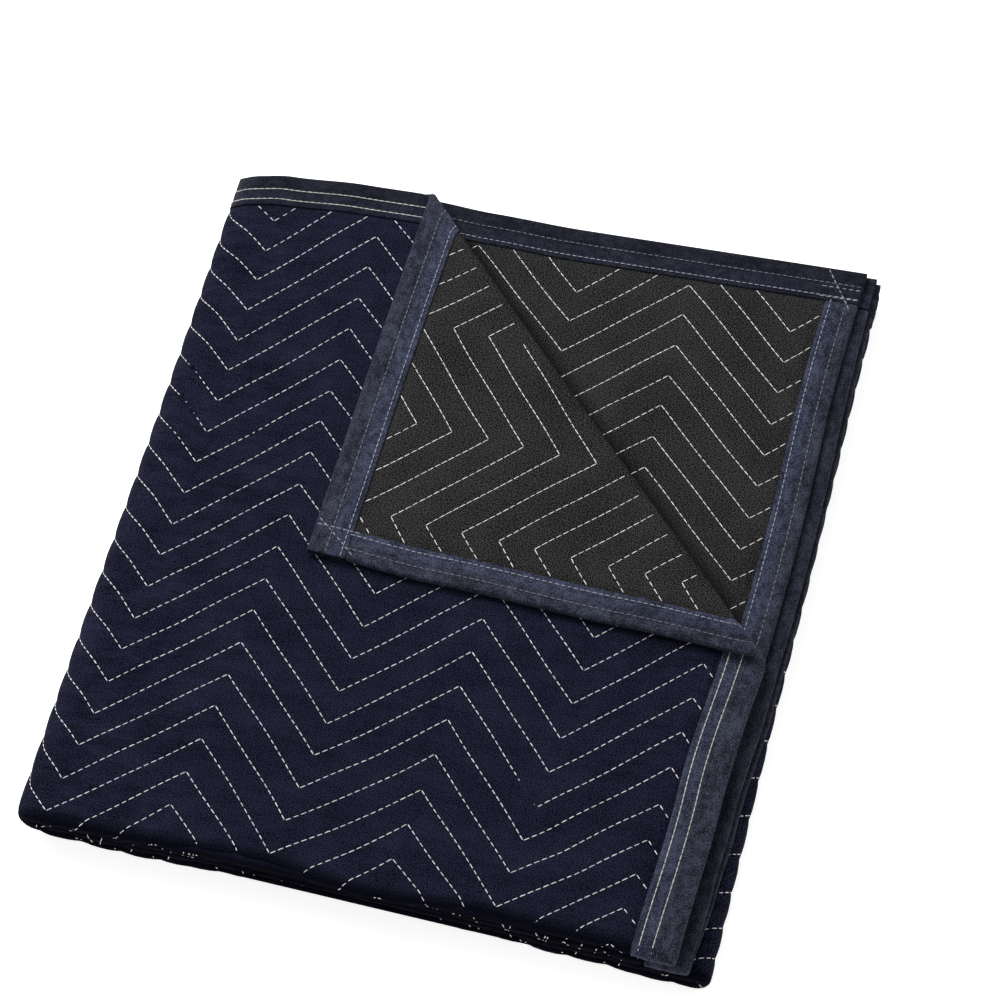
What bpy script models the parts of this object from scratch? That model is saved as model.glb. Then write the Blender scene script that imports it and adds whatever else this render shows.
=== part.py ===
"""Moving blanket of quilted cloth, folded in eight, with one corner turned back.

The blanket is described flat first. A place on it is (along, across, out): along runs
down the long side from the top free edge, across runs over the short side from the middle
line, and out is the distance from the middle of the cloth, positive on the navy face.
folded() takes such a place to where it lies in the pack, so that the cloth and its
bindings share the same folds. All sizes are in metres, and the pack rests on z = 0.
"""

import math
from collections import namedtuple

import bpy
from mathutils import Vector
from mathutils.geometry import delaunay_2d_cdt

# The cloth, flat
HALF_WIDTH = 0.5129
ROW_SPACING = 0.0247
ZIGZAG_HALF = 0.0739
ZIGZAG_DEPTH = 0.0709
FIRST_PEAK_ALONG = 0.0326
FIRST_PEAK_ACROSS = 0.4719
PEAK_SKEW = 0.0033
LOWER_ROWS_SCALE = 0.9938
ROW_BOW = (0.00162, -0.00153)
BOW_UNIT = 0.1
BOW_CENTRE_Y = 0.0147
ROW_SAG = (-0.00081, -0.00061)
SAG_CENTRE_X = -0.035
QUILTING_FAN = -0.0035
HALF_ROWS = range(-8, 92)
TOP_COLUMNS = range(-1, 8)

# The quilting's own run on the turned-back corner
CORNER_ALONG = 0.0379
CORNER_ACROSS = 0.4673
CORNER_HALF = 0.0759
CORNER_DIP_LATE = -0.040

# Half the thickness of the cloth at a seam, between seams, shut inside, and under a binding
SEAM_OUT = 0.0017
PUFF_OUT = 0.0025
PLAIN_OUT = 0.0022
EDGE_OUT = 0.0012
PANEL_INNER = 0.00015

# The bindings: a folded strip, its two faces measured from the middle of the cloth
BINDING_INNER = 0.0016
BINDING_OUTER = 0.0026
BINDING_PAST_EDGE = 0.0016
BINDING_CLEAR = 0.0006
BINDING_TURN = (0.0006, -0.0009)
BINDING_TURN_OUT = 0.6
LONG_LEGS = (0.0240, 0.0250)
END_LEGS = (0.0270, 0.0200)
END_STRIP_REACH = HALF_WIDTH - max(LONG_LEGS) - 0.0006
LEDGE_CLEAR = 0.0006
LEDGE_RISE = 0.0035

# The pack: eight layers, one pitch apart, around a path that runs between paired layers
LAYER_PITCH = 0.0060
TOP_EDGE_X = 0.2145
LAST_EDGE_X = 0.22575
LAST_EDGE_FAN = -0.00125
LAST_SETBACK = 0.001
FAN_BLEND = 0.080
NEAR_RADIUS = LAYER_PITCH / 2
NEAR_STEPS = 4
NEAR_CENTRE_Y = -0.2525
NEAR_HALF_ARC = math.pi * NEAR_RADIUS / 2

Fold = namedtuple("Fold", "x radius way steps setback")
FOLDS = (
    Fold(x=-0.20385, radius=3 * LAYER_PITCH, way=1, steps=6, setback=0.000),
    Fold(x=0.21585, radius=LAYER_PITCH, way=1, steps=4, setback=0.0045),
    Fold(x=-0.20100, radius=LAYER_PITCH, way=-1, steps=4, setback=0.003),
)

# The corner turned back over the top layer, about a slanting line
FLAP_TURN = math.radians(44.42)
FLAP_NORMAL = (math.cos(FLAP_TURN), math.sin(FLAP_TURN))
FLAP_LINE = 0.1130
FLAP_RADIUS = 0.0040
FLAP_STEPS = 6
FLAP_LINE_STEPS = 9
FLAP_SETTLE = 0.0010
FLAP_SETTLE_OVER = 0.160
UNDER_FLAP = 0.020

# From the flap's bends to the next square ring of a binding
BESIDE_BEND = 0.006

# How far apart plain points lie, where nothing else calls for one
PLAIN_STEP = 0.090
TOP_STEP = 0.040
EDGE_BAND = 0.040
SHORTEST_SHARE = 0.01
MERGE = 0.0001

PACK_TOP = 2 * BINDING_OUTER + 7 * LAYER_PITCH

Section = namedtuple("Section", "start run x z heading fold")
Shift = namedtuple("Shift", "at by")

# How far the free edge of the top two layers runs past TOP_EDGE_X, by the place across
TOP_EDGE = (
    Shift(-0.517, 0.0035),
    Shift(-0.385, 0.0007),
    Shift(-0.235, 0.0010),
    Shift(0.000, -0.0086),
    Shift(0.110, -0.0035),
    Shift(0.210, 0.0030),
    Shift(0.300, 0.0000),
    Shift(0.428, -0.0041),
    Shift(0.517, -0.0095),
)

# The same for the inner free edge past LAST_EDGE_X, by the distance from the near fold
LAST_EDGE = (
    Shift(0.000, -0.0120),
    Shift(0.055, -0.0085),
    Shift(0.100, -0.0060),
    Shift(0.180, -0.0008),
    Shift(0.260, 0.0000),
)

# How far back the near side lies in the lower layers and in the top two, by the place in
# x, and how far out the far side of the top two
NEAR_LOW = (
    Shift(-0.225, 0.0080),
    Shift(-0.140, 0.0050),
    Shift(-0.060, 0.0055),
    Shift(0.010, 0.0045),
    Shift(0.075, -0.0005),
    Shift(0.140, -0.0047),
    Shift(0.205, -0.0085),
)
NEAR_TOP = (
    Shift(-0.225, 0.0026),
    Shift(-0.140, 0.0022),
    Shift(-0.072, 0.0046),
    Shift(0.018, -0.0044),
    Shift(0.080, -0.0010),
    Shift(0.142, -0.0044),
    Shift(0.205, -0.0085),
)
FAR_TOP = (
    Shift(-0.215, -0.0040),
    Shift(-0.185, 0.0005),
    Shift(-0.134, 0.0038),
    Shift(-0.086, 0.0045),
    Shift(-0.040, 0.0020),
    Shift(0.020, 0.0000),
)
NEAR_LOW_BELOW = 0.030
NEAR_TOP_ABOVE = 0.042
NEAR_FADE_Y = (-0.080, -0.240)
FAR_FADE_Y = (0.100, 0.230)

# The pack's own unevenness: soft waves, a lean swell, and a ripple near the right edge
WAVE_HEIGHT = 0.0012
WAVE_CENTRE = (-0.060, 0.040)
WAVE_LENGTHS = (0.075, 0.105)
SWELL_HEIGHT = 0.0009
SWELL_LENGTH = 0.078
SWELL_LEAN = 1.3
RIPPLE = 0.0013
RIPPLE_FROM_X = (0.130, 0.210)
RIPPLE_CENTRE_Y = -0.020
RIPPLE_LENGTH = 0.045


def layer_height(number):
    """Height of the middle of a layer, the lowest being number 1."""
    return BINDING_OUTER + (number - 1) * LAYER_PITCH


def path_sections():
    """Straight runs of the path, each with the fold that ends it, and its whole length."""
    sections = []
    start, x, z, heading = 0.0, TOP_EDGE_X, layer_height(7.5), -1.0
    for fold in FOLDS:
        run = abs(fold.x - x)
        sections.append(Section(start, run, x, z, heading, fold))
        start += run + math.pi * fold.radius
        z += 2 * fold.way * heading * fold.radius
        x, heading = fold.x, -heading
    last = LAST_EDGE_X - x
    sections.append(Section(start, last, x, z, heading, None))
    return sections, start + last


SECTIONS, LENGTH = path_sections()
TOP_RUN = SECTIONS[0].run


def path_at(along):
    """Place on the path, its heading, and how far back the near edge lies there."""
    section = SECTIONS[0]
    for later in SECTIONS[1:]:
        if along >= later.start:
            section = later
    fold = section.fold
    gone = along - section.start
    setback = fold.setback if fold else LAST_SETBACK
    if fold is None or gone <= section.run:
        return section.x + section.heading * gone, section.z, section.heading, 0.0, setback
    turned = (gone - section.run) / fold.radius
    following = SECTIONS[SECTIONS.index(section) + 1].fold
    next_setback = following.setback if following else LAST_SETBACK
    setback += (next_setback - setback) * turned / math.pi
    centre_z = section.z + fold.way * section.heading * fold.radius
    x = fold.x + section.heading * fold.radius * math.sin(turned)
    z = centre_z - fold.way * section.heading * fold.radius * math.cos(turned)
    ahead_x = section.heading * math.cos(turned)
    ahead_z = fold.way * section.heading * math.sin(turned)
    return x, z, ahead_x, ahead_z, setback


def eased(value, low, high):
    """Rises softly from 0 to 1 as value goes from low to high."""
    share = max(0.0, min(1.0, (value - low) / (high - low)))
    return share * share * (3 - 2 * share)


def shift_at(table, place):
    """The table's shift at a place, going softly from one row to the next."""
    for first, second in zip(table, table[1:]):
        if place < second.at:
            share = eased(place, first.at, second.at)
            return first.by + (second.by - first.by) * share
    return table[-1].by


def fan_at(along, across):
    """Sideways shift that spreads the free edges of paired layers."""
    if along < TOP_RUN:
        return shift_at(TOP_EDGE, across) * (1 - along / TOP_RUN)
    last = SECTIONS[-1]
    side = max(-1.0, min(1.0, across / FAN_BLEND))
    if along > last.start:
        shift = shift_at(LAST_EDGE, abs(across)) - LAST_EDGE_FAN * side
        return shift * (along - last.start) / last.run
    return 0.0


def across_fold(across, out):
    """Distance from the path and place in y, round the near fold that joins two layers."""
    if abs(across) >= NEAR_HALF_ARC:
        side = math.copysign(1.0, across)
        return side * (NEAR_RADIUS + out), NEAR_CENTRE_Y + abs(across) - NEAR_HALF_ARC
    turned = across / NEAR_RADIUS
    reach = NEAR_RADIUS + out
    return reach * math.sin(turned), NEAR_CENTRE_Y - reach * math.cos(turned)


def past_flap_line(x, y):
    return FLAP_NORMAL[0] * x + FLAP_NORMAL[1] * y - FLAP_LINE


def turned_back(x, y, out):
    """Place of a point of the top layer after its corner is turned back."""
    past = past_flap_line(x, y)
    if past <= 0:
        return x, y, out
    arc = math.pi * FLAP_RADIUS
    if past < arc:
        angle = past / FLAP_RADIUS
        ahead = (FLAP_RADIUS - out) * math.sin(angle)
        height = FLAP_RADIUS - (FLAP_RADIUS - out) * math.cos(angle)
    else:
        ahead = arc - past
        share = min(1.0, -ahead / FLAP_SETTLE_OVER)
        height = 2 * FLAP_RADIUS - out - FLAP_SETTLE * share * share * (3 - 2 * share)
    return x + (ahead - past) * FLAP_NORMAL[0], y + (ahead - past) * FLAP_NORMAL[1], height


def settled(x, y, z):
    """Where a place lies once the pack has sagged: soft waves that die out downwards, and
    a near side that wanders back and forth."""
    lift = z / PACK_TOP
    wave = math.cos((x - WAVE_CENTRE[0]) / WAVE_LENGTHS[0])
    wave *= WAVE_HEIGHT * math.cos((y - WAVE_CENTRE[1]) / WAVE_LENGTHS[1])
    swell = SWELL_HEIGHT * math.sin((x + SWELL_LEAN * y) / SWELL_LENGTH)
    ripple = RIPPLE * math.sin((y - RIPPLE_CENTRE_Y) / RIPPLE_LENGTH)
    ripple *= eased(x, *RIPPLE_FROM_X)
    upper = eased(z, NEAR_LOW_BELOW, NEAR_TOP_ABOVE)
    back = shift_at(NEAR_LOW, x) * (1 - upper) + shift_at(NEAR_TOP, x) * upper
    back *= eased(-y, -NEAR_FADE_Y[0], -NEAR_FADE_Y[1])
    back += shift_at(FAR_TOP, x) * upper * eased(y, *FAR_FADE_Y)
    return Vector((x + lift * ripple, y + back, z + lift * (wave + swell)))


def folded(along, across, out):
    """Where a place on the flat blanket lies in the folded pack."""
    x, z, ahead_x, ahead_z, setback = path_at(along)
    off, y = across_fold(across, out)
    x += fan_at(along, across) + ahead_z * off
    y += setback
    if along < TOP_RUN and across > NEAR_HALF_ARC:
        layer = layer_height(8)
        x, y, rise = turned_back(x, y, out)
        return settled(x, y, layer + rise)
    return settled(x, y, z - ahead_x * off)


def fold_lines():
    """Places along the blanket where its layers bend round the side folds."""
    lines = []
    for section in SECTIONS[:-1]:
        first = section.start + section.run
        arc = math.pi * section.fold.radius
        steps = section.fold.steps
        lines += [first + arc * step / steps for step in range(steps + 1)]
    return lines


def near_lines():
    """Places across the blanket where it bends round the near fold."""
    return [
        NEAR_HALF_ARC * (2 * step / NEAR_STEPS - 1) for step in range(NEAR_STEPS + 1)
    ]


def filled(stops, widest):
    """The stops in order, with even places added wherever two lie too far apart."""
    stops = sorted(stops)
    places = [stops[0]]
    for stop in stops[1:]:
        count = max(1, math.ceil((stop - places[-1]) / widest))
        first = places[-1]
        places += [first + (stop - first) * i / count for i in range(1, count + 1)]
    return places


def bend_along(across, past):
    """Where along the blanket the flap's line lies, or a line this far past it."""
    shift = shift_at(TOP_EDGE, across)
    y = across - NEAR_HALF_ARC + NEAR_CENTRE_Y
    reach = (FLAP_NORMAL[1] * y - FLAP_LINE - past) / FLAP_NORMAL[0]
    return (TOP_EDGE_X + shift + reach) / (1 + shift / TOP_RUN)


def bend_across(along, past):
    """Where across the blanket the flap's line lies, or a line this far past it."""
    across = HALF_WIDTH / 2
    for _ in range(8):
        x = TOP_EDGE_X - along + shift_at(TOP_EDGE, across) * (1 - along / TOP_RUN)
        y = (FLAP_LINE + past - FLAP_NORMAL[0] * x) / FLAP_NORMAL[1]
        across = y - NEAR_CENTRE_Y + NEAR_HALF_ARC
    return across


def flap_bends():
    """How far past the flap's line its bends lie."""
    arc = math.pi * FLAP_RADIUS
    return [arc * step / FLAP_STEPS for step in range(FLAP_STEPS + 1)]


def straight_bend(past):
    """A bend as a straight line on the flat blanket: across = base + slope * along."""
    base = bend_across(0, past)
    return base, (HALF_WIDTH - base) / bend_along(HALF_WIDTH, past)


FLAP_BASE, FLAP_SLOPE = straight_bend(0)
BENT_BASE, BENT_SLOPE = straight_bend(flap_bends()[-1])

# The turned-back corner, as (a, b, c) with a*along + b*across <= c
CORNER = (BENT_SLOPE, -1, -BENT_BASE)


def row_corner(column, row, on_corner=False):
    """Corner of one zigzag row of quilting; even columns are peaks, odd ones are dips."""
    drop = row * ROW_SPACING + (column % 2) * ZIGZAG_DEPTH
    if on_corner:
        late = (column % 2) * CORNER_DIP_LATE
        return CORNER_ALONG + (column + late) * CORNER_HALF, CORNER_ACROSS - drop
    across = FIRST_PEAK_ACROSS - drop
    if across < 0:
        across *= LOWER_ROWS_SCALE
    along = FIRST_PEAK_ALONG + column * ZIGZAG_HALF
    return along + row_shift(along, across), across + row_sag(along, across)


def row_shift(along, across):
    """How far the rows bow along the blanket, and run out of square, at this place."""
    side = max(-1.0, min(1.0, across / FAN_BLEND))
    part = (abs(across) - NEAR_HALF_ARC + NEAR_CENTRE_Y - BOW_CENTRE_Y) / BOW_UNIT
    fanned = max(0.0, 1 - along / TOP_RUN)
    straight = (shift_at(TOP_EDGE, across) - QUILTING_FAN * side) * fanned
    return straight - PEAK_SKEW * side - ROW_BOW[0] * part - ROW_BOW[1] * part * part


def row_sag(along, across):
    """How far the rows sag towards the near fold, growing to the free edge."""
    side = max(-1.0, min(1.0, across / FAN_BLEND))
    part = (TOP_EDGE_X - along - SAG_CENTRE_X) / BOW_UNIT
    return side * (ROW_SAG[0] * part + ROW_SAG[1] * part * part)


def row_phase(along, across, on_corner=False):
    """Which row of quilting passes here; whole numbers are seams."""
    if on_corner:
        turns = (along - CORNER_ALONG) / CORNER_HALF % 2
        dip = 1 + CORNER_DIP_LATE
        drop = turns / dip if turns < dip else (2 - turns) / (2 - dip)
        return (CORNER_ACROSS - across - drop * ZIGZAG_DEPTH) / ROW_SPACING
    turns = (along - row_shift(along, across) - FIRST_PEAK_ALONG) / ZIGZAG_HALF
    drop = abs((turns + 1) % 2 - 1) * ZIGZAG_DEPTH
    level = across - row_sag(along, across)
    if level < 0:
        level /= LOWER_ROWS_SCALE
    return (FIRST_PEAK_ACROSS - level - drop) / ROW_SPACING


def quilted_regions(side):
    """Areas whose quilting shows, as lists of (a, b, c) with a*along + b*across <= c."""
    long_leg, end_leg = (LONG_LEGS, END_LEGS)[0][side < 0], END_LEGS[side < 0]
    in_from_end = end_leg + LEDGE_CLEAR + LEDGE_RISE
    in_from_side = HALF_WIDTH - long_leg - LEDGE_CLEAR - LEDGE_RISE
    big_fold_end = SECTIONS[1].start
    if side > 0:
        return [
            [
                (-1, 0, -in_from_end),
                (1, 0, big_fold_end),
                (0, -1, 3 * NEAR_HALF_ARC),
                (0, 1, in_from_side),
                (-FLAP_SLOPE, 1, FLAP_BASE),
            ]
        ]
    from_end = (-1, 0, -in_from_end)
    beside = (FLAP_SLOPE, 1, UNDER_FLAP - FLAP_BASE)
    return [
        [from_end, (0, 1, in_from_side), CORNER],
        [from_end, (0, -1, in_from_side), beside],
    ]


def clipped(first, second, region):
    """The stretch of a straight line inside a region, or None."""
    low, high = 0.0, 1.0
    for a, b, c in region:
        at_first = a * first[0] + b * first[1] - c
        at_second = a * second[0] + b * second[1] - c
        if at_first > 0 and at_second > 0:
            return None
        if at_first > 0:
            low = max(low, at_first / (at_first - at_second))
        elif at_second > 0:
            high = min(high, at_first / (at_first - at_second))
    if high - low < SHORTEST_SHARE:
        return None
    return [
        tuple(first[i] + (second[i] - first[i]) * share for i in (0, 1))
        for share in (low, high)
    ]


def quilting_lines(side):
    """Seams, and the ridges half way between them, in the areas that show."""
    lines = []
    for region in quilted_regions(side):
        for half_row in HALF_ROWS:
            row = half_row / 2
            corners = [row_corner(i, row, CORNER in region) for i in TOP_COLUMNS]
            for first, second in zip(corners, corners[1:]):
                stretch = clipped(first, second, region)
                if stretch:
                    lines.append(stretch)
    return lines


def inset_loop(in_end, in_side, alongs, acrosses):
    """Corners and stations of a rectangle that lies inside the cloth's outline."""
    across_edge = HALF_WIDTH - in_side
    far = [a for a in alongs if in_end + MERGE < a < LENGTH - in_end - MERGE]
    up = [a for a in acrosses if abs(a) < across_edge - MERGE]
    loop = [(in_end, -across_edge)]
    loop += [(a, -across_edge) for a in far]
    loop += [(LENGTH - in_end, -across_edge)]
    loop += [(LENGTH - in_end, a) for a in up]
    loop += [(LENGTH - in_end, across_edge)]
    loop += [(a, across_edge) for a in reversed(far)]
    loop += [(in_end, across_edge)]
    loop += [(in_end, a) for a in reversed(up)]
    return loop


def in_region(along, across, region):
    return all(a * along + b * across <= c + MERGE for a, b, c in region)


def in_quilting(along, across, side):
    return any(in_region(along, across, region) for region in quilted_regions(side))


def cloth_out(along, across, side):
    """Half thickness of the cloth on one face, at one place."""
    ledges = (
        min(along, LENGTH - along) - END_LEGS[side < 0],
        HALF_WIDTH - abs(across) - LONG_LEGS[side < 0],
    )
    inside = min(ledges) - LEDGE_CLEAR
    resting = side > 0 and across > 0 and 0 < along - SECTIONS[1].start < SECTIONS[1].run
    full = BINDING_OUTER if resting else PLAIN_OUT
    if in_quilting(along, across, side):
        on_corner = side < 0 and in_region(along, across, [CORNER])
        phase = row_phase(along, across, on_corner)
        full = SEAM_OUT + (PUFF_OUT - SEAM_OUT) * 2 * abs(phase - round(phase))
    share = max(0.0, min(1.0, inside / LEDGE_RISE))
    return EDGE_OUT + (full - EDGE_OUT) * share


class Plan:
    """Points and joining lines on the flat blanket, gathered before it is cut into faces."""

    def __init__(self):
        self.points = []
        self.edges = []

    def line(self, places, closed=False):
        first = len(self.points)
        self.points += places
        last = len(self.points) - 1
        self.edges += [(i, i + 1) for i in range(first, last)]
        if closed:
            self.edges.append((last, first))

    def triangles(self):
        flat = [Vector(place) for place in self.points]
        points, _, faces, _, _, _ = delaunay_2d_cdt(flat, self.edges, [], 0, MERGE)
        return [(p.x, p.y) for p in points], [tuple(f) for f in faces]


def face_plan(side, alongs, acrosses):
    """Triangles of one face of the flat blanket, with an edge along each bend and seam."""
    plan = Plan()
    plan.line(inset_loop(0, 0, alongs, acrosses), closed=True)
    for rise in (0, LEDGE_RISE):
        in_end = END_LEGS[side < 0] + LEDGE_CLEAR + rise
        in_side = LONG_LEGS[side < 0] + LEDGE_CLEAR + rise
        plan.line(inset_loop(in_end, in_side, alongs, acrosses), closed=True)
    add_bends(plan)
    for stretch in quilting_lines(side):
        plan.line(stretch)
    for along in alongs:
        for across in acrosses:
            to_edge = min(along, LENGTH - along, HALF_WIDTH - abs(across))
            if to_edge > EDGE_BAND and not in_quilting(along, across, side):
                plan.points.append((along, across))
    return plan.triangles()


def plain_plan(alongs, acrosses):
    """Triangles of the unquilted inner faces, with an edge along each bend only."""
    plan = Plan()
    plan.line(inset_loop(0, 0, alongs, acrosses), closed=True)
    add_bends(plan)
    plan.points += [(a, b) for a in alongs[1:-1] for b in acrosses[1:-1]]
    return plan.triangles()


def add_bends(plan):
    """Lines along which the blanket bends: side folds, near fold and turned-back corner."""
    for place in fold_lines():
        plan.line([(place, -HALF_WIDTH), (place, HALF_WIDTH)])
    for place in near_lines():
        plan.line([(0, place), (LENGTH, place)])
    for past in flap_bends():
        base = bend_across(0, past)
        line = [(0, base)]
        for step in range(1, FLAP_LINE_STEPS + 1):
            across = base + (HALF_WIDTH - base) * step / FLAP_LINE_STEPS
            line.append((bend_along(across, past), across))
        plan.line(line)


def border_order(place):
    """How far round the outline a point on it lies, or None for a point inside."""
    along, across = place
    if across < -HALF_WIDTH + MERGE:
        return along
    if along > LENGTH - MERGE:
        return LENGTH + across + HALF_WIDTH
    if across > HALF_WIDTH - MERGE:
        return 2 * LENGTH + 2 * HALF_WIDTH - along
    if along < MERGE:
        return 2 * LENGTH + 3 * HALF_WIDTH - across
    return None


def border_of(points):
    ranked = [(border_order(p), i) for i, p in enumerate(points)]
    return [i for rank, i in sorted(r for r in ranked if r[0] is not None)]


def stations():
    """Places along and across where every face of the blanket has points."""
    flap_far = [bend_along(HALF_WIDTH, past) for past in flap_bends()]
    flap_near = [bend_across(0, past) for past in flap_bends()]
    top = filled([0, TOP_RUN] + flap_far, TOP_STEP)
    alongs = filled([LENGTH] + fold_lines() + top, PLAIN_STEP)
    ends = [-HALF_WIDTH, -END_STRIP_REACH, END_STRIP_REACH, HALF_WIDTH]
    acrosses = filled(ends + near_lines() + flap_near, PLAIN_STEP)
    return alongs, acrosses


def make_material(name, colour, roughness):
    material = bpy.data.materials.new(name)
    material.use_nodes = True
    shader = material.node_tree.nodes["Principled BSDF"]
    shader.inputs["Base Color"].default_value = (*colour, 1.0)
    shader.inputs["Roughness"].default_value = roughness
    shader.inputs["Metallic"].default_value = 0.0
    return material


def add_object(name, points, faces, material):
    mesh = bpy.data.meshes.new(name)
    mesh.from_pydata(points, [], faces)
    mesh.materials.append(material)
    mesh.validate()
    mesh.shade_smooth()
    mesh.set_sharp_from_angle(angle=math.radians(50))
    piece = bpy.data.objects.new(name, mesh)
    bpy.context.scene.collection.objects.link(piece)
    return piece


def make_panel(name, side, inner, stops, material):
    """One of the two panels that are quilted together: its outer face, inner face and rim."""
    flat, outer_faces = face_plan(side, *stops)
    inner_flat, inner_faces = inner
    points = [folded(a, b, side * cloth_out(a, b, side)) for a, b in flat]
    first = len(points)
    points += [folded(a, b, side * PANEL_INNER) for a, b in inner_flat]
    faces = [face[::-1] if side > 0 else face for face in outer_faces]
    for face in inner_faces:
        moved = tuple(first + i for i in face)
        faces.append(moved if side > 0 else moved[::-1])
    upper = border_of(flat)
    lower = [first + i for i in border_of(inner_flat)]
    if len(upper) != len(lower):
        raise ValueError("the two faces of a panel have different outlines")
    for i in range(len(upper)):
        j = (i + 1) % len(upper)
        rim = (upper[i], lower[i], lower[j], upper[j])
        faces.append(rim[::-1] if side > 0 else rim)
    return add_object(name, points, faces, material)


def strip_profile(legs):
    """Section of a binding, as (in from the edge, out) round the outside and back inside."""
    past, clear = -BINDING_PAST_EDGE, -BINDING_CLEAR
    outer, inner = BINDING_OUTER, BINDING_INNER
    outside = [
        (legs[0], outer),
        (BINDING_TURN[0], outer),
        (BINDING_TURN[1], BINDING_TURN_OUT * outer),
        (past, 0.0),
        (BINDING_TURN[1], -BINDING_TURN_OUT * outer),
        (BINDING_TURN[0], -outer),
        (legs[1], -outer),
    ]
    inside = [
        (legs[1], -inner),
        (clear / 2, -inner),
        (clear, -EDGE_OUT),
        (clear, 0.0),
        (clear, EDGE_OUT),
        (clear / 2, inner),
        (legs[0], inner),
    ]
    return outside, inside


def loft(rings, faces, first, flip):
    """Quads between rings of equally many points, the points being numbered from first."""
    size = len(rings[0])
    for ring in range(len(rings) - 1):
        for i in range(size):
            j = (i + 1) % size
            a, b = first + ring * size + i, first + ring * size + j
            quad = (a, b, b + size, a + size)
            faces.append(quad[::-1] if flip else quad)


Ring = namedtuple("Ring", "place slanted past")


def strip_ring(section, ring, spot, on_bend):
    """One ring of a binding's section, slanted where it lies on a bend of the flap."""
    points = []
    for inward, out in section:
        place = ring.place
        if ring.slanted:
            place = on_bend(inward, ring.past)
        points.append(folded(*spot(place, inward), out))
    return points


def strip_rings(ends, stops, on_bend, reach):
    """The rings of a binding: square ones, and slanted ones on the flap's bends."""
    between = [place for place in stops if ends[0] + MERGE < place < ends[1] - MERGE]
    places = [ends[0], *between, ends[1]]
    if on_bend is None:
        return [Ring(place, False, 0.0) for place in places]
    bent = [on_bend(inward, past) for past in flap_bends() for inward in (0, reach)]
    low = min(bent) - BESIDE_BEND
    high = max(bent) + BESIDE_BEND
    places = [place for place in places if not low < place < high] + [low, high]
    rings = [Ring(place, False, 0.0) for place in places]
    rings += [Ring(on_bend(0, past), True, past) for past in flap_bends()]
    return sorted(rings)


def make_strip(name, legs, rings, spot, on_bend, way, material):
    """A binding strip open at both ends, folded over an edge of the cloth."""
    outside, inside = strip_profile(legs)
    section = outside + inside
    rings = [strip_ring(section, ring, spot, on_bend) for ring in rings]
    points = [point for ring in rings for point in ring]
    faces = []
    flip = way < 0
    loft(rings, faces, 0, flip)
    size = len(section)
    last = (len(rings) - 1) * size
    for first, turned in ((0, flip), (last, not flip)):
        for i in range(size // 2):
            a, b = first + i, first + i + 1
            c, d = first + size - 2 - i, first + size - 1 - i
            face = (a, b, c, d) if b != c else (a, b, d)
            faces.append(face if turned else face[::-1])
    return add_object(name, points, faces, material)


def clear_scene():
    for piece in list(bpy.data.objects):
        bpy.data.objects.remove(piece, do_unlink=True)


def make_blanket():
    clear_scene()
    navy = make_material("navy cloth", (0.014, 0.017, 0.042), 0.9)
    black = make_material("black backing", (0.022, 0.022, 0.021), 0.92)
    slate = make_material("slate binding", (0.050, 0.062, 0.098), 0.95)
    stops = stations()
    inner = plain_plan(*stops)
    make_panel("navy_face_panel", 1, inner, stops, navy)
    make_panel("black_backing_panel", -1, inner, stops, black)

    alongs, acrosses = stops
    whole = (-BINDING_PAST_EDGE, LENGTH + BINDING_PAST_EDGE)
    between = (-END_STRIP_REACH, END_STRIP_REACH)

    def bend_on_side(inward, past):
        return bend_along(HALF_WIDTH - inward, past)

    make_strip(
        "long_binding_upper",
        LONG_LEGS,
        strip_rings(whole, alongs, bend_on_side, max(LONG_LEGS)),
        lambda place, inward: (place, HALF_WIDTH - inward),
        bend_on_side,
        1,
        slate,
    )
    make_strip(
        "long_binding_lower",
        LONG_LEGS,
        strip_rings(whole, alongs, None, 0.0),
        lambda place, inward: (place, inward - HALF_WIDTH),
        None,
        -1,
        slate,
    )
    make_strip(
        "end_binding_top",
        END_LEGS,
        strip_rings(between, acrosses, bend_across, max(END_LEGS)),
        lambda place, inward: (inward, place),
        bend_across,
        1,
        slate,
    )
    make_strip(
        "end_binding_inner",
        END_LEGS,
        strip_rings(between, acrosses, None, 0.0),
        lambda place, inward: (LENGTH - inward, place),
        None,
        -1,
        slate,
    )


if __name__ == "__main__":
    make_blanket()
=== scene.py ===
"""A quilted moving blanket, folded in eight with one corner turned back, and its stage.

A place on the blanket is (along, across, out): along runs down the long side from the top
free edge, across runs over the short side from the middle line, and out is the distance
from the middle of the cloth, positive on the navy face. folded() gives where it lies in
the pack. All sizes are in metres.
"""

import math
from collections import namedtuple

import bpy
from mathutils import Matrix, Vector
from mathutils.geometry import delaunay_2d_cdt


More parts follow.
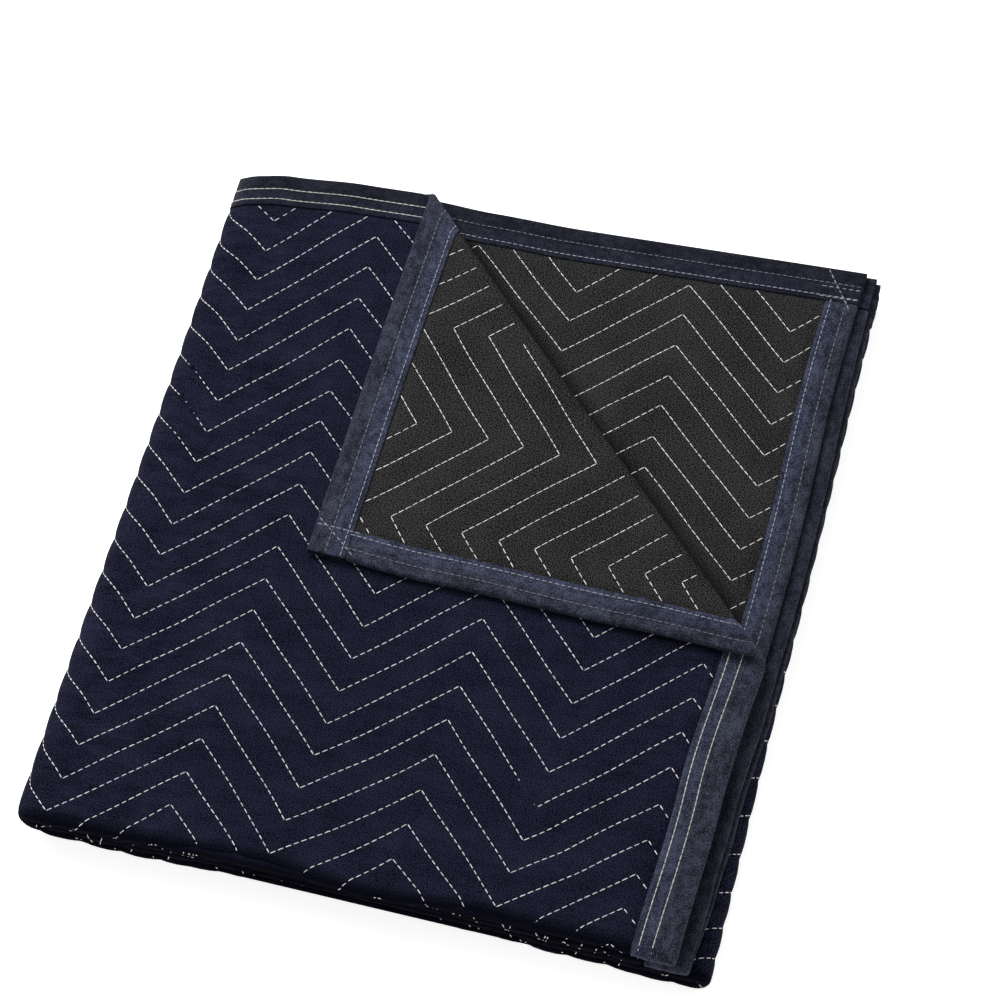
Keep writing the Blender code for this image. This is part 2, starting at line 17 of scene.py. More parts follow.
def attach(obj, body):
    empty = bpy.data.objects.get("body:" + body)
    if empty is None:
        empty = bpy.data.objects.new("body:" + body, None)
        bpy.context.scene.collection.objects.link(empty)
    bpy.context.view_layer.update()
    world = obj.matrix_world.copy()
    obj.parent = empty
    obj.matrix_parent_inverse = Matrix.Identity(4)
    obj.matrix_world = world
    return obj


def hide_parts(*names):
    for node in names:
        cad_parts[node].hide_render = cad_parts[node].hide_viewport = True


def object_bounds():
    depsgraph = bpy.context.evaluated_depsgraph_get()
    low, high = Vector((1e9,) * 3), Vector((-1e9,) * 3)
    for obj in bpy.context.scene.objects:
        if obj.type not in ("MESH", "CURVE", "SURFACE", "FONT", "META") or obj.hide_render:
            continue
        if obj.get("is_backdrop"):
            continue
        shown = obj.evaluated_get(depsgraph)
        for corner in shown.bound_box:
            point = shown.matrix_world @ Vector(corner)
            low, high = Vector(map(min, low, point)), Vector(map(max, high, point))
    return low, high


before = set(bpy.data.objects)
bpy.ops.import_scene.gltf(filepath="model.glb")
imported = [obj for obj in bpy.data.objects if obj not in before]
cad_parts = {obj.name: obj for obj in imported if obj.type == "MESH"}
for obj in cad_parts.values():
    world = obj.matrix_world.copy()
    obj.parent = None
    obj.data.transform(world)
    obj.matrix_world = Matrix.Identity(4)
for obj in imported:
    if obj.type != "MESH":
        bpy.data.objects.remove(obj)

SOLID_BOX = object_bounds()

bl_info = {
    "name": "Folded moving blanket",
    "version": (1, 0, 0),
    "blender": (4, 5, 0),
    "location": "3D View > Sidebar > Blanket",
    "description": "Quilted cloth, bindings and stitches for the folded blanket's solids",
    "category": "Object",
}

# The cloth, flat
HALF_WIDTH = 0.5129
ROW_SPACING = 0.0247
ZIGZAG_HALF = 0.0739
ZIGZAG_DEPTH = 0.0709
FIRST_PEAK_ALONG = 0.0326
FIRST_PEAK_ACROSS = 0.4719
PEAK_SKEW = 0.0033
LOWER_ROWS_SCALE = 0.9938
ROW_BOW = (0.00162, -0.00153)
BOW_UNIT = 0.1
BOW_CENTRE_Y = 0.0147
ROW_SAG = (-0.00081, -0.00061)
SAG_CENTRE_X = -0.035
QUILTING_FAN = -0.0035

# The quilting's own run on the turned-back corner
CORNER_ALONG = 0.0379
CORNER_ACROSS = 0.4673
CORNER_HALF = 0.0759
CORNER_DIP_LATE = -0.040

# Half the thickness of the cloth
PLAIN_OUT = 0.0022
EDGE_OUT = 0.0012
PANEL_INNER = 0.00015

# The bindings
BINDING_INNER = 0.0016
BINDING_OUTER = 0.0026
BINDING_PAST_EDGE = 0.0016
BINDING_CLEAR = 0.0006
LONG_LEGS = (0.0240, 0.0250)
END_LEGS = (0.0270, 0.0200)
END_STRIP_REACH = HALF_WIDTH - max(LONG_LEGS) - 0.0006
LEDGE_CLEAR = 0.0006
LEDGE_RISE = 0.0035

# The pack
LAYER_PITCH = 0.0060
TOP_EDGE_X = 0.2145
LAST_EDGE_X = 0.22575
LAST_EDGE_FAN = -0.00125
LAST_SETBACK = 0.001
FAN_BLEND = 0.080
NEAR_RADIUS = LAYER_PITCH / 2
NEAR_STEPS = 8
NEAR_CENTRE_Y = -0.2525
NEAR_HALF_ARC = math.pi * NEAR_RADIUS / 2

Fold = namedtuple("Fold", "x radius way steps setback")
FOLDS = (
    Fold(x=-0.20385, radius=3 * LAYER_PITCH, way=1, steps=14, setback=0.000),
    Fold(x=0.21585, radius=LAYER_PITCH, way=1, steps=10, setback=0.0045),
    Fold(x=-0.20100, radius=LAYER_PITCH, way=-1, steps=6, setback=0.003),
)

# The corner turned back
FLAP_TURN = math.radians(44.42)
FLAP_NORMAL = (math.cos(FLAP_TURN), math.sin(FLAP_TURN))
FLAP_LINE = 0.1130
FLAP_RADIUS = 0.0040
FLAP_STEPS = 8
FLAP_LINE_STEPS = 40
FLAP_SETTLE = 0.0010
FLAP_SETTLE_OVER = 0.160

MERGE = 0.0001
SHORTEST_SHARE = 0.05
ROWS = range(-4, 46)
COLUMNS = range(-1, 25)
SWAY = 0.00035
SWAY_LENGTHS = (0.0085, 0.0213)
NEAR_CROSSING = 0.0020
NEAR_ROW_FROM = 0.0100
NEAR_ROW_TO = -0.0035
NEAR_LEAN = 0.55
PACK_TOP = 2 * BINDING_OUTER + 7 * LAYER_PITCH

Section = namedtuple("Section", "start run x z heading fold")
Shift = namedtuple("Shift", "at by")

# How far the free edge of the top two layers runs past TOP_EDGE_X, by the place across
TOP_EDGE = (
    Shift(-0.517, 0.0035),
    Shift(-0.385, 0.0007),
    Shift(-0.235, 0.0010),
    Shift(0.000, -0.0086),
    Shift(0.110, -0.0035),
    Shift(0.210, 0.0030),
    Shift(0.300, 0.0000),
    Shift(0.428, -0.0041),
    Shift(0.517, -0.0095),
)

# The same for the inner free edge past LAST_EDGE_X, by the distance from the near fold
LAST_EDGE = (
    Shift(0.000, -0.0120),
    Shift(0.055, -0.0085),
    Shift(0.100, -0.0060),
    Shift(0.180, -0.0008),
    Shift(0.260, 0.0000),
)

# How far back the near side lies in the lower layers and in the top two, by the place in
# x, and how far out the far side of the top two
NEAR_LOW = (
    Shift(-0.225, 0.0080),
    Shift(-0.140, 0.0050),
    Shift(-0.060, 0.0055),
    Shift(0.010, 0.0045),
    Shift(0.075, -0.0005),
    Shift(0.140, -0.0047),
    Shift(0.205, -0.0085),
)
NEAR_TOP = (
    Shift(-0.225, 0.0026),
    Shift(-0.140, 0.0022),
    Shift(-0.072, 0.0046),
    Shift(0.018, -0.0044),
    Shift(0.080, -0.0010),
    Shift(0.142, -0.0044),
    Shift(0.205, -0.0085),
)
FAR_TOP = (
    Shift(-0.215, -0.0040),
    Shift(-0.185, 0.0005),
    Shift(-0.134, 0.0038),
    Shift(-0.086, 0.0045),
    Shift(-0.040, 0.0020),
    Shift(0.020, 0.0000),
)
NEAR_LOW_BELOW = 0.030
NEAR_TOP_ABOVE = 0.042
NEAR_FADE_Y = (-0.080, -0.240)
FAR_FADE_Y = (0.100, 0.230)

# The pack's own unevenness: soft waves, a lean swell, and a ripple near the right edge
WAVE_HEIGHT = 0.0012
WAVE_CENTRE = (-0.060, 0.040)
WAVE_LENGTHS = (0.075, 0.105)
SWELL_HEIGHT = 0.0009
SWELL_LENGTH = 0.078
SWELL_LEAN = 1.3
RIPPLE = 0.0013
RIPPLE_FROM_X = (0.130, 0.210)
RIPPLE_CENTRE_Y = -0.020
RIPPLE_LENGTH = 0.045


def layer_height(number):
    """Height of the middle of a layer, the lowest being number 1."""
    return BINDING_OUTER + (number - 1) * LAYER_PITCH


def path_sections():
    """Straight runs of the path, each with the fold that ends it, and its whole length."""
    sections = []
    start, x, z, heading = 0.0, TOP_EDGE_X, layer_height(7.5), -1.0
    for fold in FOLDS:
        run = abs(fold.x - x)
        sections.append(Section(start, run, x, z, heading, fold))
        start += run + math.pi * fold.radius
        z += 2 * fold.way * heading * fold.radius
        x, heading = fold.x, -heading
    last = LAST_EDGE_X - x
    sections.append(Section(start, last, x, z, heading, None))
    return sections, start + last


SECTIONS, LENGTH = path_sections()
TOP_RUN = SECTIONS[0].run


def path_at(along):
    """Place on the path, its heading, and how far back the near edge lies there."""
    section = SECTIONS[0]
    for later in SECTIONS[1:]:
        if along >= later.start:
            section = later
    fold = section.fold
    gone = along - section.start
    setback = fold.setback if fold else LAST_SETBACK
    if fold is None or gone <= section.run:
        return section.x + section.heading * gone, section.z, section.heading, 0.0, setback
    turned = (gone - section.run) / fold.radius
    following = SECTIONS[SECTIONS.index(section) + 1].fold
    next_setback = following.setback if following else LAST_SETBACK
    setback += (next_setback - setback) * turned / math.pi
    centre_z = section.z + fold.way * section.heading * fold.radius
    x = fold.x + section.heading * fold.radius * math.sin(turned)
    z = centre_z - fold.way * section.heading * fold.radius * math.cos(turned)
    ahead_x = section.heading * math.cos(turned)
    ahead_z = fold.way * section.heading * math.sin(turned)
    return x, z, ahead_x, ahead_z, setback


def eased(value, low, high):
    """Rises softly from 0 to 1 as value goes from low to high."""
    share = max(0.0, min(1.0, (value - low) / (high - low)))
    return share * share * (3 - 2 * share)


def shift_at(table, place):
    """The table's shift at a place, going softly from one row to the next."""
    for first, second in zip(table, table[1:]):
        if place < second.at:
            share = eased(place, first.at, second.at)
            return first.by + (second.by - first.by) * share
    return table[-1].by


def fan_at(along, across):
    """Sideways shift that spreads the free edges of paired layers."""
    if along < TOP_RUN:
        return shift_at(TOP_EDGE, across) * (1 - along / TOP_RUN)
    last = SECTIONS[-1]
    side = max(-1.0, min(1.0, across / FAN_BLEND))
    if along > last.start:
        shift = shift_at(LAST_EDGE, abs(across)) - LAST_EDGE_FAN * side
        return shift * (along - last.start) / last.run
    return 0.0


def across_fold(across, out):
    """Distance from the path and place in y, round the near fold that joins two layers."""
    if abs(across) >= NEAR_HALF_ARC:
        side = math.copysign(1.0, across)
        return side * (NEAR_RADIUS + out), NEAR_CENTRE_Y + abs(across) - NEAR_HALF_ARC
    turned = across / NEAR_RADIUS
    reach = NEAR_RADIUS + out
    return reach * math.sin(turned), NEAR_CENTRE_Y - reach * math.cos(turned)


def past_flap_line(x, y):
    return FLAP_NORMAL[0] * x + FLAP_NORMAL[1] * y - FLAP_LINE


def turned_back(x, y, out):
    """Place of a point of the top layer after its corner is turned back."""
    past = past_flap_line(x, y)
    if past <= 0:
        return x, y, out
    arc = math.pi * FLAP_RADIUS
    if past < arc:
        angle = past / FLAP_RADIUS
        ahead = (FLAP_RADIUS - out) * math.sin(angle)
        height = FLAP_RADIUS - (FLAP_RADIUS - out) * math.cos(angle)
    else:
        ahead = arc - past
        share = min(1.0, -ahead / FLAP_SETTLE_OVER)
        height = 2 * FLAP_RADIUS - out - FLAP_SETTLE * share * share * (3 - 2 * share)
    return x + (ahead - past) * FLAP_NORMAL[0], y + (ahead - past) * FLAP_NORMAL[1], height


def settled(x, y, z):
    """Where a place lies once the pack has sagged: soft waves that die out downwards, and
    a near side that wanders back and forth."""
    lift = z / PACK_TOP
    wave = math.cos((x - WAVE_CENTRE[0]) / WAVE_LENGTHS[0])
    wave *= WAVE_HEIGHT * math.cos((y - WAVE_CENTRE[1]) / WAVE_LENGTHS[1])
    swell = SWELL_HEIGHT * math.sin((x + SWELL_LEAN * y) / SWELL_LENGTH)
    ripple = RIPPLE * math.sin((y - RIPPLE_CENTRE_Y) / RIPPLE_LENGTH)
    ripple *= eased(x, *RIPPLE_FROM_X)
    upper = eased(z, NEAR_LOW_BELOW, NEAR_TOP_ABOVE)
    back = shift_at(NEAR_LOW, x) * (1 - upper) + shift_at(NEAR_TOP, x) * upper
    back *= eased(-y, -NEAR_FADE_Y[0], -NEAR_FADE_Y[1])
    back += shift_at(FAR_TOP, x) * upper * eased(y, *FAR_FADE_Y)
    return Vector((x + lift * ripple, y + back, z + lift * (wave + swell)))


def folded(along, across, out):
    """Where a place on the flat blanket lies in the folded pack."""
    x, z, ahead_x, ahead_z, setback = path_at(along)
    off, y = across_fold(across, out)
    x += fan_at(along, across) + ahead_z * off
    y += setback
    if along < TOP_RUN and across > NEAR_HALF_ARC:
        x, y, rise = turned_back(x, y, out)
        return settled(x, y, layer_height(8) + rise)
    return settled(x, y, z - ahead_x * off)


def facing(along, across, side):
    """Direction out of the navy face, or out of the black one, at a place in the pack."""
    across_step = 0.0004
    here = folded(along, across, side * 0.0016)
    outward = folded(along, across, side * 0.0036) - here
    if outward.length < across_step:
        return Vector((0, 0, 1))
    return outward.normalized()


def fold_lines():
    """Places along the blanket where its layers bend round the side folds."""
    lines = []
    for section in SECTIONS[:-1]:
        first = section.start + section.run
        arc = math.pi * section.fold.radius
        steps = section.fold.steps
        lines += [first + arc * step / steps for step in range(steps + 1)]
    return lines


def near_lines():
    """Places across the blanket where it bends round the near fold."""
    return [
        NEAR_HALF_ARC * (2 * step / NEAR_STEPS - 1) for step in range(NEAR_STEPS + 1)
    ]


def filled(stops, widest):
    """The stops in order, with even places added wherever two lie too far apart."""
    stops = sorted(stops)
    places = [stops[0]]
    for stop in stops[1:]:
        count = max(1, math.ceil((stop - places[-1]) / widest))
        first = places[-1]
        places += [first + (stop - first) * i / count for i in range(1, count + 1)]
    return places


def bend_along(across, past):
    """Where along the blanket the flap's line lies, or a line this far past it."""
    shift = shift_at(TOP_EDGE, across)
    y = across - NEAR_HALF_ARC + NEAR_CENTRE_Y
    reach = (FLAP_NORMAL[1] * y - FLAP_LINE - past) / FLAP_NORMAL[0]
    return (TOP_EDGE_X + shift + reach) / (1 + shift / TOP_RUN)


def bend_across(along, past):
    """Where across the blanket the flap's line lies, or a line this far past it."""
    across = HALF_WIDTH / 2
    for _ in range(8):
        x = TOP_EDGE_X - along + shift_at(TOP_EDGE, across) * (1 - along / TOP_RUN)
        y = (FLAP_LINE + past - FLAP_NORMAL[0] * x) / FLAP_NORMAL[1]
        across = y - NEAR_CENTRE_Y + NEAR_HALF_ARC
    return across


def flap_bends():
    """How far past the flap's line its bends lie."""
    arc = math.pi * FLAP_RADIUS
    return [arc * step / FLAP_STEPS for step in range(FLAP_STEPS + 1)]


def straight_bend(past):
    """A bend as a straight line on the flat blanket: across = base + slope * along."""
    base = bend_across(0, past)
    return base, (HALF_WIDTH - base) / bend_along(HALF_WIDTH, past)


FLAP_BASE, FLAP_SLOPE = straight_bend(0)
BENT_BASE, BENT_SLOPE = straight_bend(flap_bends()[-1])

# The turned-back corner, as (a, b, c) with a*along + b*across <= c
CORNER = (BENT_SLOPE, -1, -BENT_BASE)


def row_corner(column, row, on_corner=False):
    """Corner of one zigzag row of quilting; even columns are peaks, odd ones are dips."""
    drop = row * ROW_SPACING + (column % 2) * ZIGZAG_DEPTH
    if on_corner:
        late = (column % 2) * CORNER_DIP_LATE
        return CORNER_ALONG + (column + late) * CORNER_HALF, CORNER_ACROSS - drop
    across = FIRST_PEAK_ACROSS - drop
    if across < 0:
        across *= LOWER_ROWS_SCALE
    along = FIRST_PEAK_ALONG + column * ZIGZAG_HALF
    return along + row_shift(across), across + row_sag(along, across)


def row_shift(across):
    """How far the rows bow along the blanket, and run out of square, at this place."""
    side = max(-1.0, min(1.0, across / FAN_BLEND))
    part = (abs(across) - NEAR_HALF_ARC + NEAR_CENTRE_Y - BOW_CENTRE_Y) / BOW_UNIT
    return -PEAK_SKEW * side - ROW_BOW[0] * part - ROW_BOW[1] * part * part


def edge_drift(along, across):
    """How far the rows keep off the wandering free edge of the top two layers."""
    side = max(-1.0, min(1.0, across / FAN_BLEND))
    fanned = max(0.0, 1 - along / TOP_RUN)
    return (shift_at(TOP_EDGE, across) - QUILTING_FAN * side) * fanned


def row_sag(along, across):
    """How far the rows sag towards the near fold, growing to the free edge."""
    side = max(-1.0, min(1.0, across / FAN_BLEND))
    part = (TOP_EDGE_X - along - SAG_CENTRE_X) / BOW_UNIT
    return side * (ROW_SAG[0] * part + ROW_SAG[1] * part * part)


def row_phase(along, across, on_corner=False):
    """Which row of quilting passes here; whole numbers are seams."""
    if on_corner:
        turns = (along - CORNER_ALONG) / CORNER_HALF % 2
        dip = 1 + CORNER_DIP_LATE
        drop = turns / dip if turns < dip else (2 - turns) / (2 - dip)
        return (CORNER_ACROSS - across - drop * ZIGZAG_DEPTH) / ROW_SPACING
    along -= edge_drift(along, across)
    turns = (along - row_shift(across) - FIRST_PEAK_ALONG) / ZIGZAG_HALF
    drop = abs((turns + 1) % 2 - 1) * ZIGZAG_DEPTH
    level = across - row_sag(along, across)
    if level < 0:
        level /= LOWER_ROWS_SCALE
    return (FIRST_PEAK_ACROSS - level - drop) / ROW_SPACING


def shown_regions(side, in_end, in_side):
    """Areas whose quilting shows, as lists of (a, b, c) with a*along + b*across <= c."""
    from_end = (-1, 0, -in_end)
    from_side = (0, 1, HALF_WIDTH - in_side)
    big_fold_end = SECTIONS[1].start
    right_fold = SECTIONS[1].start + SECTIONS[1].run
    right_fold_end = SECTIONS[2].start
    if side > 0:
        near_band = 4 * NEAR_HALF_ARC
        top = [from_end, (1, 0, big_fold_end), (0, -1, near_band), from_side]
        right = [(-1, 0, 0.02 - right_fold), (1, 0, right_fold_end + 0.01)]
        return [
            top + [(-FLAP_SLOPE, 1, FLAP_BASE + 0.01)],
            right + [(0, -1, near_band), from_side],
            [(-1, 0, -big_fold_end), (1, 0, right_fold - 0.02)]
            + [(0, 1, near_band), (0, -1, near_band)],
            [(-1, 0, -right_fold_end - 0.01), (1, 0, LENGTH - in_end)]
            + [(0, 1, near_band), (0, -1, near_band)],
        ]
    return [
        [from_end, from_side, CORNER],
        [from_end, (0, -1, HALF_WIDTH - in_side), (FLAP_SLOPE, 1, 0.03 - FLAP_BASE)],
    ]


def clipped(first, second, region):
    """The stretch of a straight line inside a region, or None."""
    low, high = 0.0, 1.0
    for a, b, c in region:
        at_first = a * first[0] + b * first[1] - c
        at_second = a * second[0] + b * second[1] - c
        if at_first > 0 and at_second > 0:
            return None
        if at_first > 0:
            low = max(low, at_first / (at_first - at_second))
        elif at_second > 0:
            high = min(high, at_first / (at_first - at_second))
    if high - low < SHORTEST_SHARE:
        return None
    return [
        tuple(first[i] + (second[i] - first[i]) * share for i in (0, 1))
        for share in (low, high)
    ]


def wandering(along, across, row, corner):
    """Where a place on a straight row really lies, as hand-guided sewing wanders a little."""
    sway = math.sin(along / SWAY_LENGTHS[0] + row * 2.1) + math.sin(along / SWAY_LENGTHS[1])
    drift = 0.0 if corner else edge_drift(along, across)
    return along + drift, across + SWAY * sway


def rows_in(region, phases, step, legs_apart=False):
    """Zigzag lines inside a region, each a list of places no further apart than step; they
    break at the zigzag's corners if its legs are wanted apart."""
    lines = []
    corner = CORNER in region
    for row in ROWS:
        for part in phases:
            corners = [row_corner(i, row + part, corner) for i in COLUMNS]
            line = []
            for first, second in zip(corners, corners[1:]):
                count = max(1, round(math.dist(first, second) / step))
                places = []
                for i in range(count + 1):
                    along = first[0] + (second[0] - first[0]) * i / count
                    across = first[1] + (second[1] - first[1]) * i / count
                    places.append(wandering(along, across, row, corner))
                for start, end in zip(places, places[1:]):
                    stretch = clipped(start, end, region)
                    if stretch is None:
                        continue
                    if line and math.dist(line[-1], stretch[0]) > MERGE:
                        lines.append(line)
                        line = []
                    line += stretch[1:] if line else stretch
                if legs_apart and len(line) > 1:
                    lines.append(line)
                    line = []
            if len(line) > 1:
                lines.append(line)
    return lines


def trimmed(places, by):
    """The same line, shorter by this much at both ends, or None if nothing is left."""
    gone = [0.0]
    for first, second in zip(places, places[1:]):
        gone.append(gone[-1] + math.dist(first, second))
    if gone[-1] < 2.5 * by:
        return None
    middle = [place for place, at in zip(places, gone) if by < at < gone[-1] - by]
    ends = []
    for first, second, share in (
        (places[0], places[1], by / gone[1]),
        (places[-1], places[-2], by / (gone[-1] - gone[-2])),
    ):
        ends.append(tuple(first[i] + (second[i] - first[i]) * share for i in (0, 1)))
    return [ends[0], *middle, ends[1]]


def inside(place, region, margin=MERGE):
    return all(a * place[0] + b * place[1] <= c + margin for a, b, c in region)


class Plan:
    """Points and joining lines on the flat blanket, gathered before it is cut into faces."""

    def __init__(self):
        self.points = []
        self.edges = []

    def line(self, places, closed=False):
        first = len(self.points)
        self.points += places
        last = len(self.points) - 1
        self.edges += [(i, i + 1) for i in range(first, last)]
        if closed:
            self.edges.append((last, first))

    def triangles(self):
        flat = [Vector(place) for place in self.points]
        points, _, faces, _, _, _ = delaunay_2d_cdt(flat, self.edges, [], 0, MERGE)
        return [(p.x, p.y) for p in points], [tuple(f) for f in faces]


def inset_loop(in_end, in_side, alongs, acrosses):
    """Corners and stations of a rectangle that lies inside the cloth's outline."""
    across_edge = HALF_WIDTH - in_side
    far = [a for a in alongs if in_end + MERGE < a < LENGTH - in_end - MERGE]
    up = [a for a in acrosses if abs(a) < across_edge - MERGE]
    loop = [(in_end, -across_edge)]
    loop += [(a, -across_edge) for a in far]
    loop += [(LENGTH - in_end, -across_edge)]
    loop += [(LENGTH - in_end, a) for a in up]
    loop += [(LENGTH - in_end, across_edge)]
    loop += [(a, across_edge) for a in reversed(far)]
    loop += [(in_end, across_edge)]
    loop += [(in_end, a) for a in reversed(up)]
    return loop


def add_bends(plan):
    """Lines along which the blanket bends: side folds, near fold and turned-back corner."""
    for place in fold_lines():
        plan.line([(place, -HALF_WIDTH), (place, HALF_WIDTH)])
    for place in near_lines():
        plan.line([(0, place), (LENGTH, place)])
    for past in flap_bends():
        base = bend_across(0, past)
        line = [(0, base)]
        for step in range(1, FLAP_LINE_STEPS + 1):
            across = base + (HALF_WIDTH - base) * step / FLAP_LINE_STEPS
            line.append((bend_along(across, past), across))
        plan.line(line)


def stations(widest):
    """Places along and across where every face of the blanket has points."""
    flap_far = [bend_along(HALF_WIDTH, past) for past in flap_bends()]
    flap_near = [bend_across(0, past) for past in flap_bends()]
    alongs = filled([0, LENGTH] + fold_lines() + flap_far, widest)
    ends = [-HALF_WIDTH, -END_STRIP_REACH, END_STRIP_REACH, HALF_WIDTH]
    acrosses = filled(ends + near_lines() + flap_near, widest)
    return alongs, acrosses


def border_order(place):
    """How far round the outline a point on it lies, or None for a point inside."""
    along, across = place
    if across < -HALF_WIDTH + MERGE:
        return along
    if along > LENGTH - MERGE:
        return LENGTH + across + HALF_WIDTH
    if across > HALF_WIDTH - MERGE:
        return 2 * LENGTH + 2 * HALF_WIDTH - along
    if along < MERGE:
        return 2 * LENGTH + 3 * HALF_WIDTH - across
    return None


def border_of(points):
    ranked = [(border_order(p), i) for i, p in enumerate(points)]
    return [i for rank, i in sorted(r for r in ranked if r[0] is not None)]


# Soft troughs and ridges in the navy face: where they cross the cloth, the way they run,
# and how long, wide and deep they are
Crease = namedtuple("Crease", "x y turn length width depth")
CREASES = (
    Crease(x=0.090, y=-0.170, turn=-38, length=0.110, width=0.010, depth=0.0012),
    Crease(x=0.128, y=-0.205, turn=-30, length=0.070, width=0.009, depth=0.0010),
    Crease(x=0.040, y=-0.215, turn=-22, length=0.090, width=0.011, depth=0.0009),
    Crease(x=-0.150, y=0.060, turn=78, length=0.120, width=0.013, depth=0.0009),
    Crease(x=-0.160, y=-0.090, turn=95, length=0.110, width=0.012, depth=0.0010),
    Crease(x=-0.120, y=-0.200, turn=12, length=0.130, width=0.012, depth=0.0010),
    Crease(x=-0.180, y=0.190, turn=60, length=0.060, width=0.009, depth=0.0008),
)


def crease_depth(along, across):
    """How far the listed creases sink the top layer's navy face here."""
    x = TOP_EDGE_X - along
    y = across - NEAR_HALF_ARC + NEAR_CENTRE_Y
    depth = 0.0
    for crease in CREASES:
        turn = math.radians(crease.turn)
        dx, dy = x - crease.x, y - crease.y
        ahead = dx * math.cos(turn) + dy * math.sin(turn)
        aside = dy * math.cos(turn) - dx * math.sin(turn)
        reach = (2 * ahead / crease.length) ** 2 + (aside / crease.width) ** 2
        depth += crease.depth * math.exp(-reach * 1.5)
    return depth


class Relief:
    """Half thickness of the cloth on one face, sewn down at its seams."""

    def __init__(self, side, sizes):
        self.side = side
        self.seam = sizes.seam_out
        self.puff = sizes.puff_out
        self.regions = shown_regions(side, *self.ledge())

    def ledge(self):
        inset = LEDGE_CLEAR + LEDGE_RISE
        return END_LEGS[self.side < 0] + inset, LONG_LEGS[self.side < 0] + inset

    def phase(self, along, across):
        on_corner = self.side < 0 and inside((along, across), [CORNER])
        return row_phase(along, across, on_corner)

    def out(self, along, across):
        in_end = min(along, LENGTH - along) - END_LEGS[self.side < 0]
        in_side = HALF_WIDTH - abs(across) - LONG_LEGS[self.side < 0]
        full = PLAIN_OUT
        if any(inside((along, across), region) for region in self.regions):
            phase = self.phase(along, across)
            gap = 1 - 2 * abs(phase - round(phase))
            full = self.seam + (self.puff - self.seam) * (1 - gap ** 2.4)
            if self.side > 0 and across > 0.02 and along < TOP_RUN:
                full -= crease_depth(along, across)
        share = max(0.0, min(1.0, (min(in_end, in_side) - LEDGE_CLEAR) / LEDGE_RISE))
        share = share * share * (3 - 2 * share)
        return EDGE_OUT + (full - EDGE_OUT) * share


def panel_plan(relief, stops, sizes):
    """Triangles of one outer face, with an edge along each bend and seam that shows."""
    plan = Plan()
    plan.line(inset_loop(0, 0, *stops), closed=True)
    for rise in (0, LEDGE_RISE / 2, LEDGE_RISE):
        in_end = END_LEGS[relief.side < 0] + LEDGE_CLEAR + rise
        in_side = LONG_LEGS[relief.side < 0] + LEDGE_CLEAR + rise
        plan.line(inset_loop(in_end, in_side, *stops), closed=True)
    add_bends(plan)
    flanks = (0, 0.09, 0.24, 0.5, 0.76, 0.91)
    for region in relief.regions:
        for line in rows_in(region, flanks, sizes.mesh_step):
            plan.line(line)
    for along in stops[0][1:-1]:
        for across in stops[1][1:-1]:
            if not any(inside((along, across), region) for region in relief.regions):
                plan.points.append((along, across))
    return plan.triangles()


def plain_plan(stops):
    plan = Plan()
    plan.line(inset_loop(0, 0, *stops), closed=True)
    add_bends(plan)
    return plan.triangles()


def add_piece(name, points, faces, material, flat=None, phases=None):
    """A smooth mesh piece that rides on the pack; flat is its UV place at each corner, and
    phases say which row of quilting passes there."""
    mesh = bpy.data.meshes.new(name)
    mesh.from_pydata(points, [], faces)
    mesh.materials.append(material)
    if flat:
        layer = mesh.uv_layers.new(name="flat")
        corners = [c for loop in mesh.loops for c in flat[loop.vertex_index]]
        layer.data.foreach_set("uv", corners)
    if phases:
        mesh.attributes.new("phase", "FLOAT", "POINT").data.foreach_set("value", phases)
    mesh.validate()
    mesh.shade_smooth()
    piece = bpy.data.objects.new(name, mesh)
    bpy.context.scene.collection.objects.link(piece)
    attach(piece, "root")
    return piece


def make_panel(name, side, sizes, material):
    """One panel of the quilt: its outer face with raised quilting, inner face and rim."""
    stops = stations(sizes.rim_step)
    relief = Relief(side, sizes)
    flat, outer_faces = panel_plan(relief, stops, sizes)
    inner_flat, inner_faces = plain_plan(stops)
    points = [folded(a, b, side * relief.out(a, b)) for a, b in flat]
    first = len(points)
    points += [folded(a, b, side * PANEL_INNER) for a, b in inner_flat]
    faces = [face[::-1] if side > 0 else face for face in outer_faces]
    for face in inner_faces:
        moved = tuple(first + i for i in face)
        faces.append(moved if side > 0 else moved[::-1])
    upper = border_of(flat)
    lower = [first + i for i in border_of(inner_flat)]
    if len(upper) != len(lower):
        raise ValueError("the two faces of a panel have different outlines")
    for i in range(len(upper)):
        j = (i + 1) % len(upper)
        rim = (upper[i], lower[i], lower[j], upper[j])
        faces.append(rim[::-1] if side > 0 else rim)
    flat += inner_flat
    phases = [relief.phase(a, b) for a, b in flat]
    return add_piece(name, points, faces, material, flat, phases)


def strip_profile(legs, steps):
    """Section of a binding, as (in from the edge, out) round the outside and back inside."""
    past, clear = -BINDING_PAST_EDGE, -BINDING_CLEAR
    outer, inner = BINDING_OUTER, BINDING_INNER
    faces = []
    for leg, side in ((legs[0], 1), (legs[1], -1)):
        face = [(leg + 0.0001, side * (inner + 0.0001)), (leg, side * (outer - 0.0002))]
        for step in range(steps + 1):
            share = step / steps
            inward = leg - 0.0006 + (0.0012 - leg) * share
            face.append((inward, side * outer))
        faces.append(face)
    turns = [math.pi * step / 6 for step in range(1, 6)]
    nose = [(0.0006 + (past - 0.0006) * math.sin(t), outer * math.cos(t)) for t in turns]
    outside = faces[0] + nose + faces[1][::-1]
    inside_wall = [
        (legs[1], -inner),
        (clear / 2, -inner),
        (clear, 0.0),
        (clear / 2, inner),
        (legs[0], inner),
    ]
    return outside + inside_wall, len(outside)


Ring = namedtuple("Ring", "place slant past")


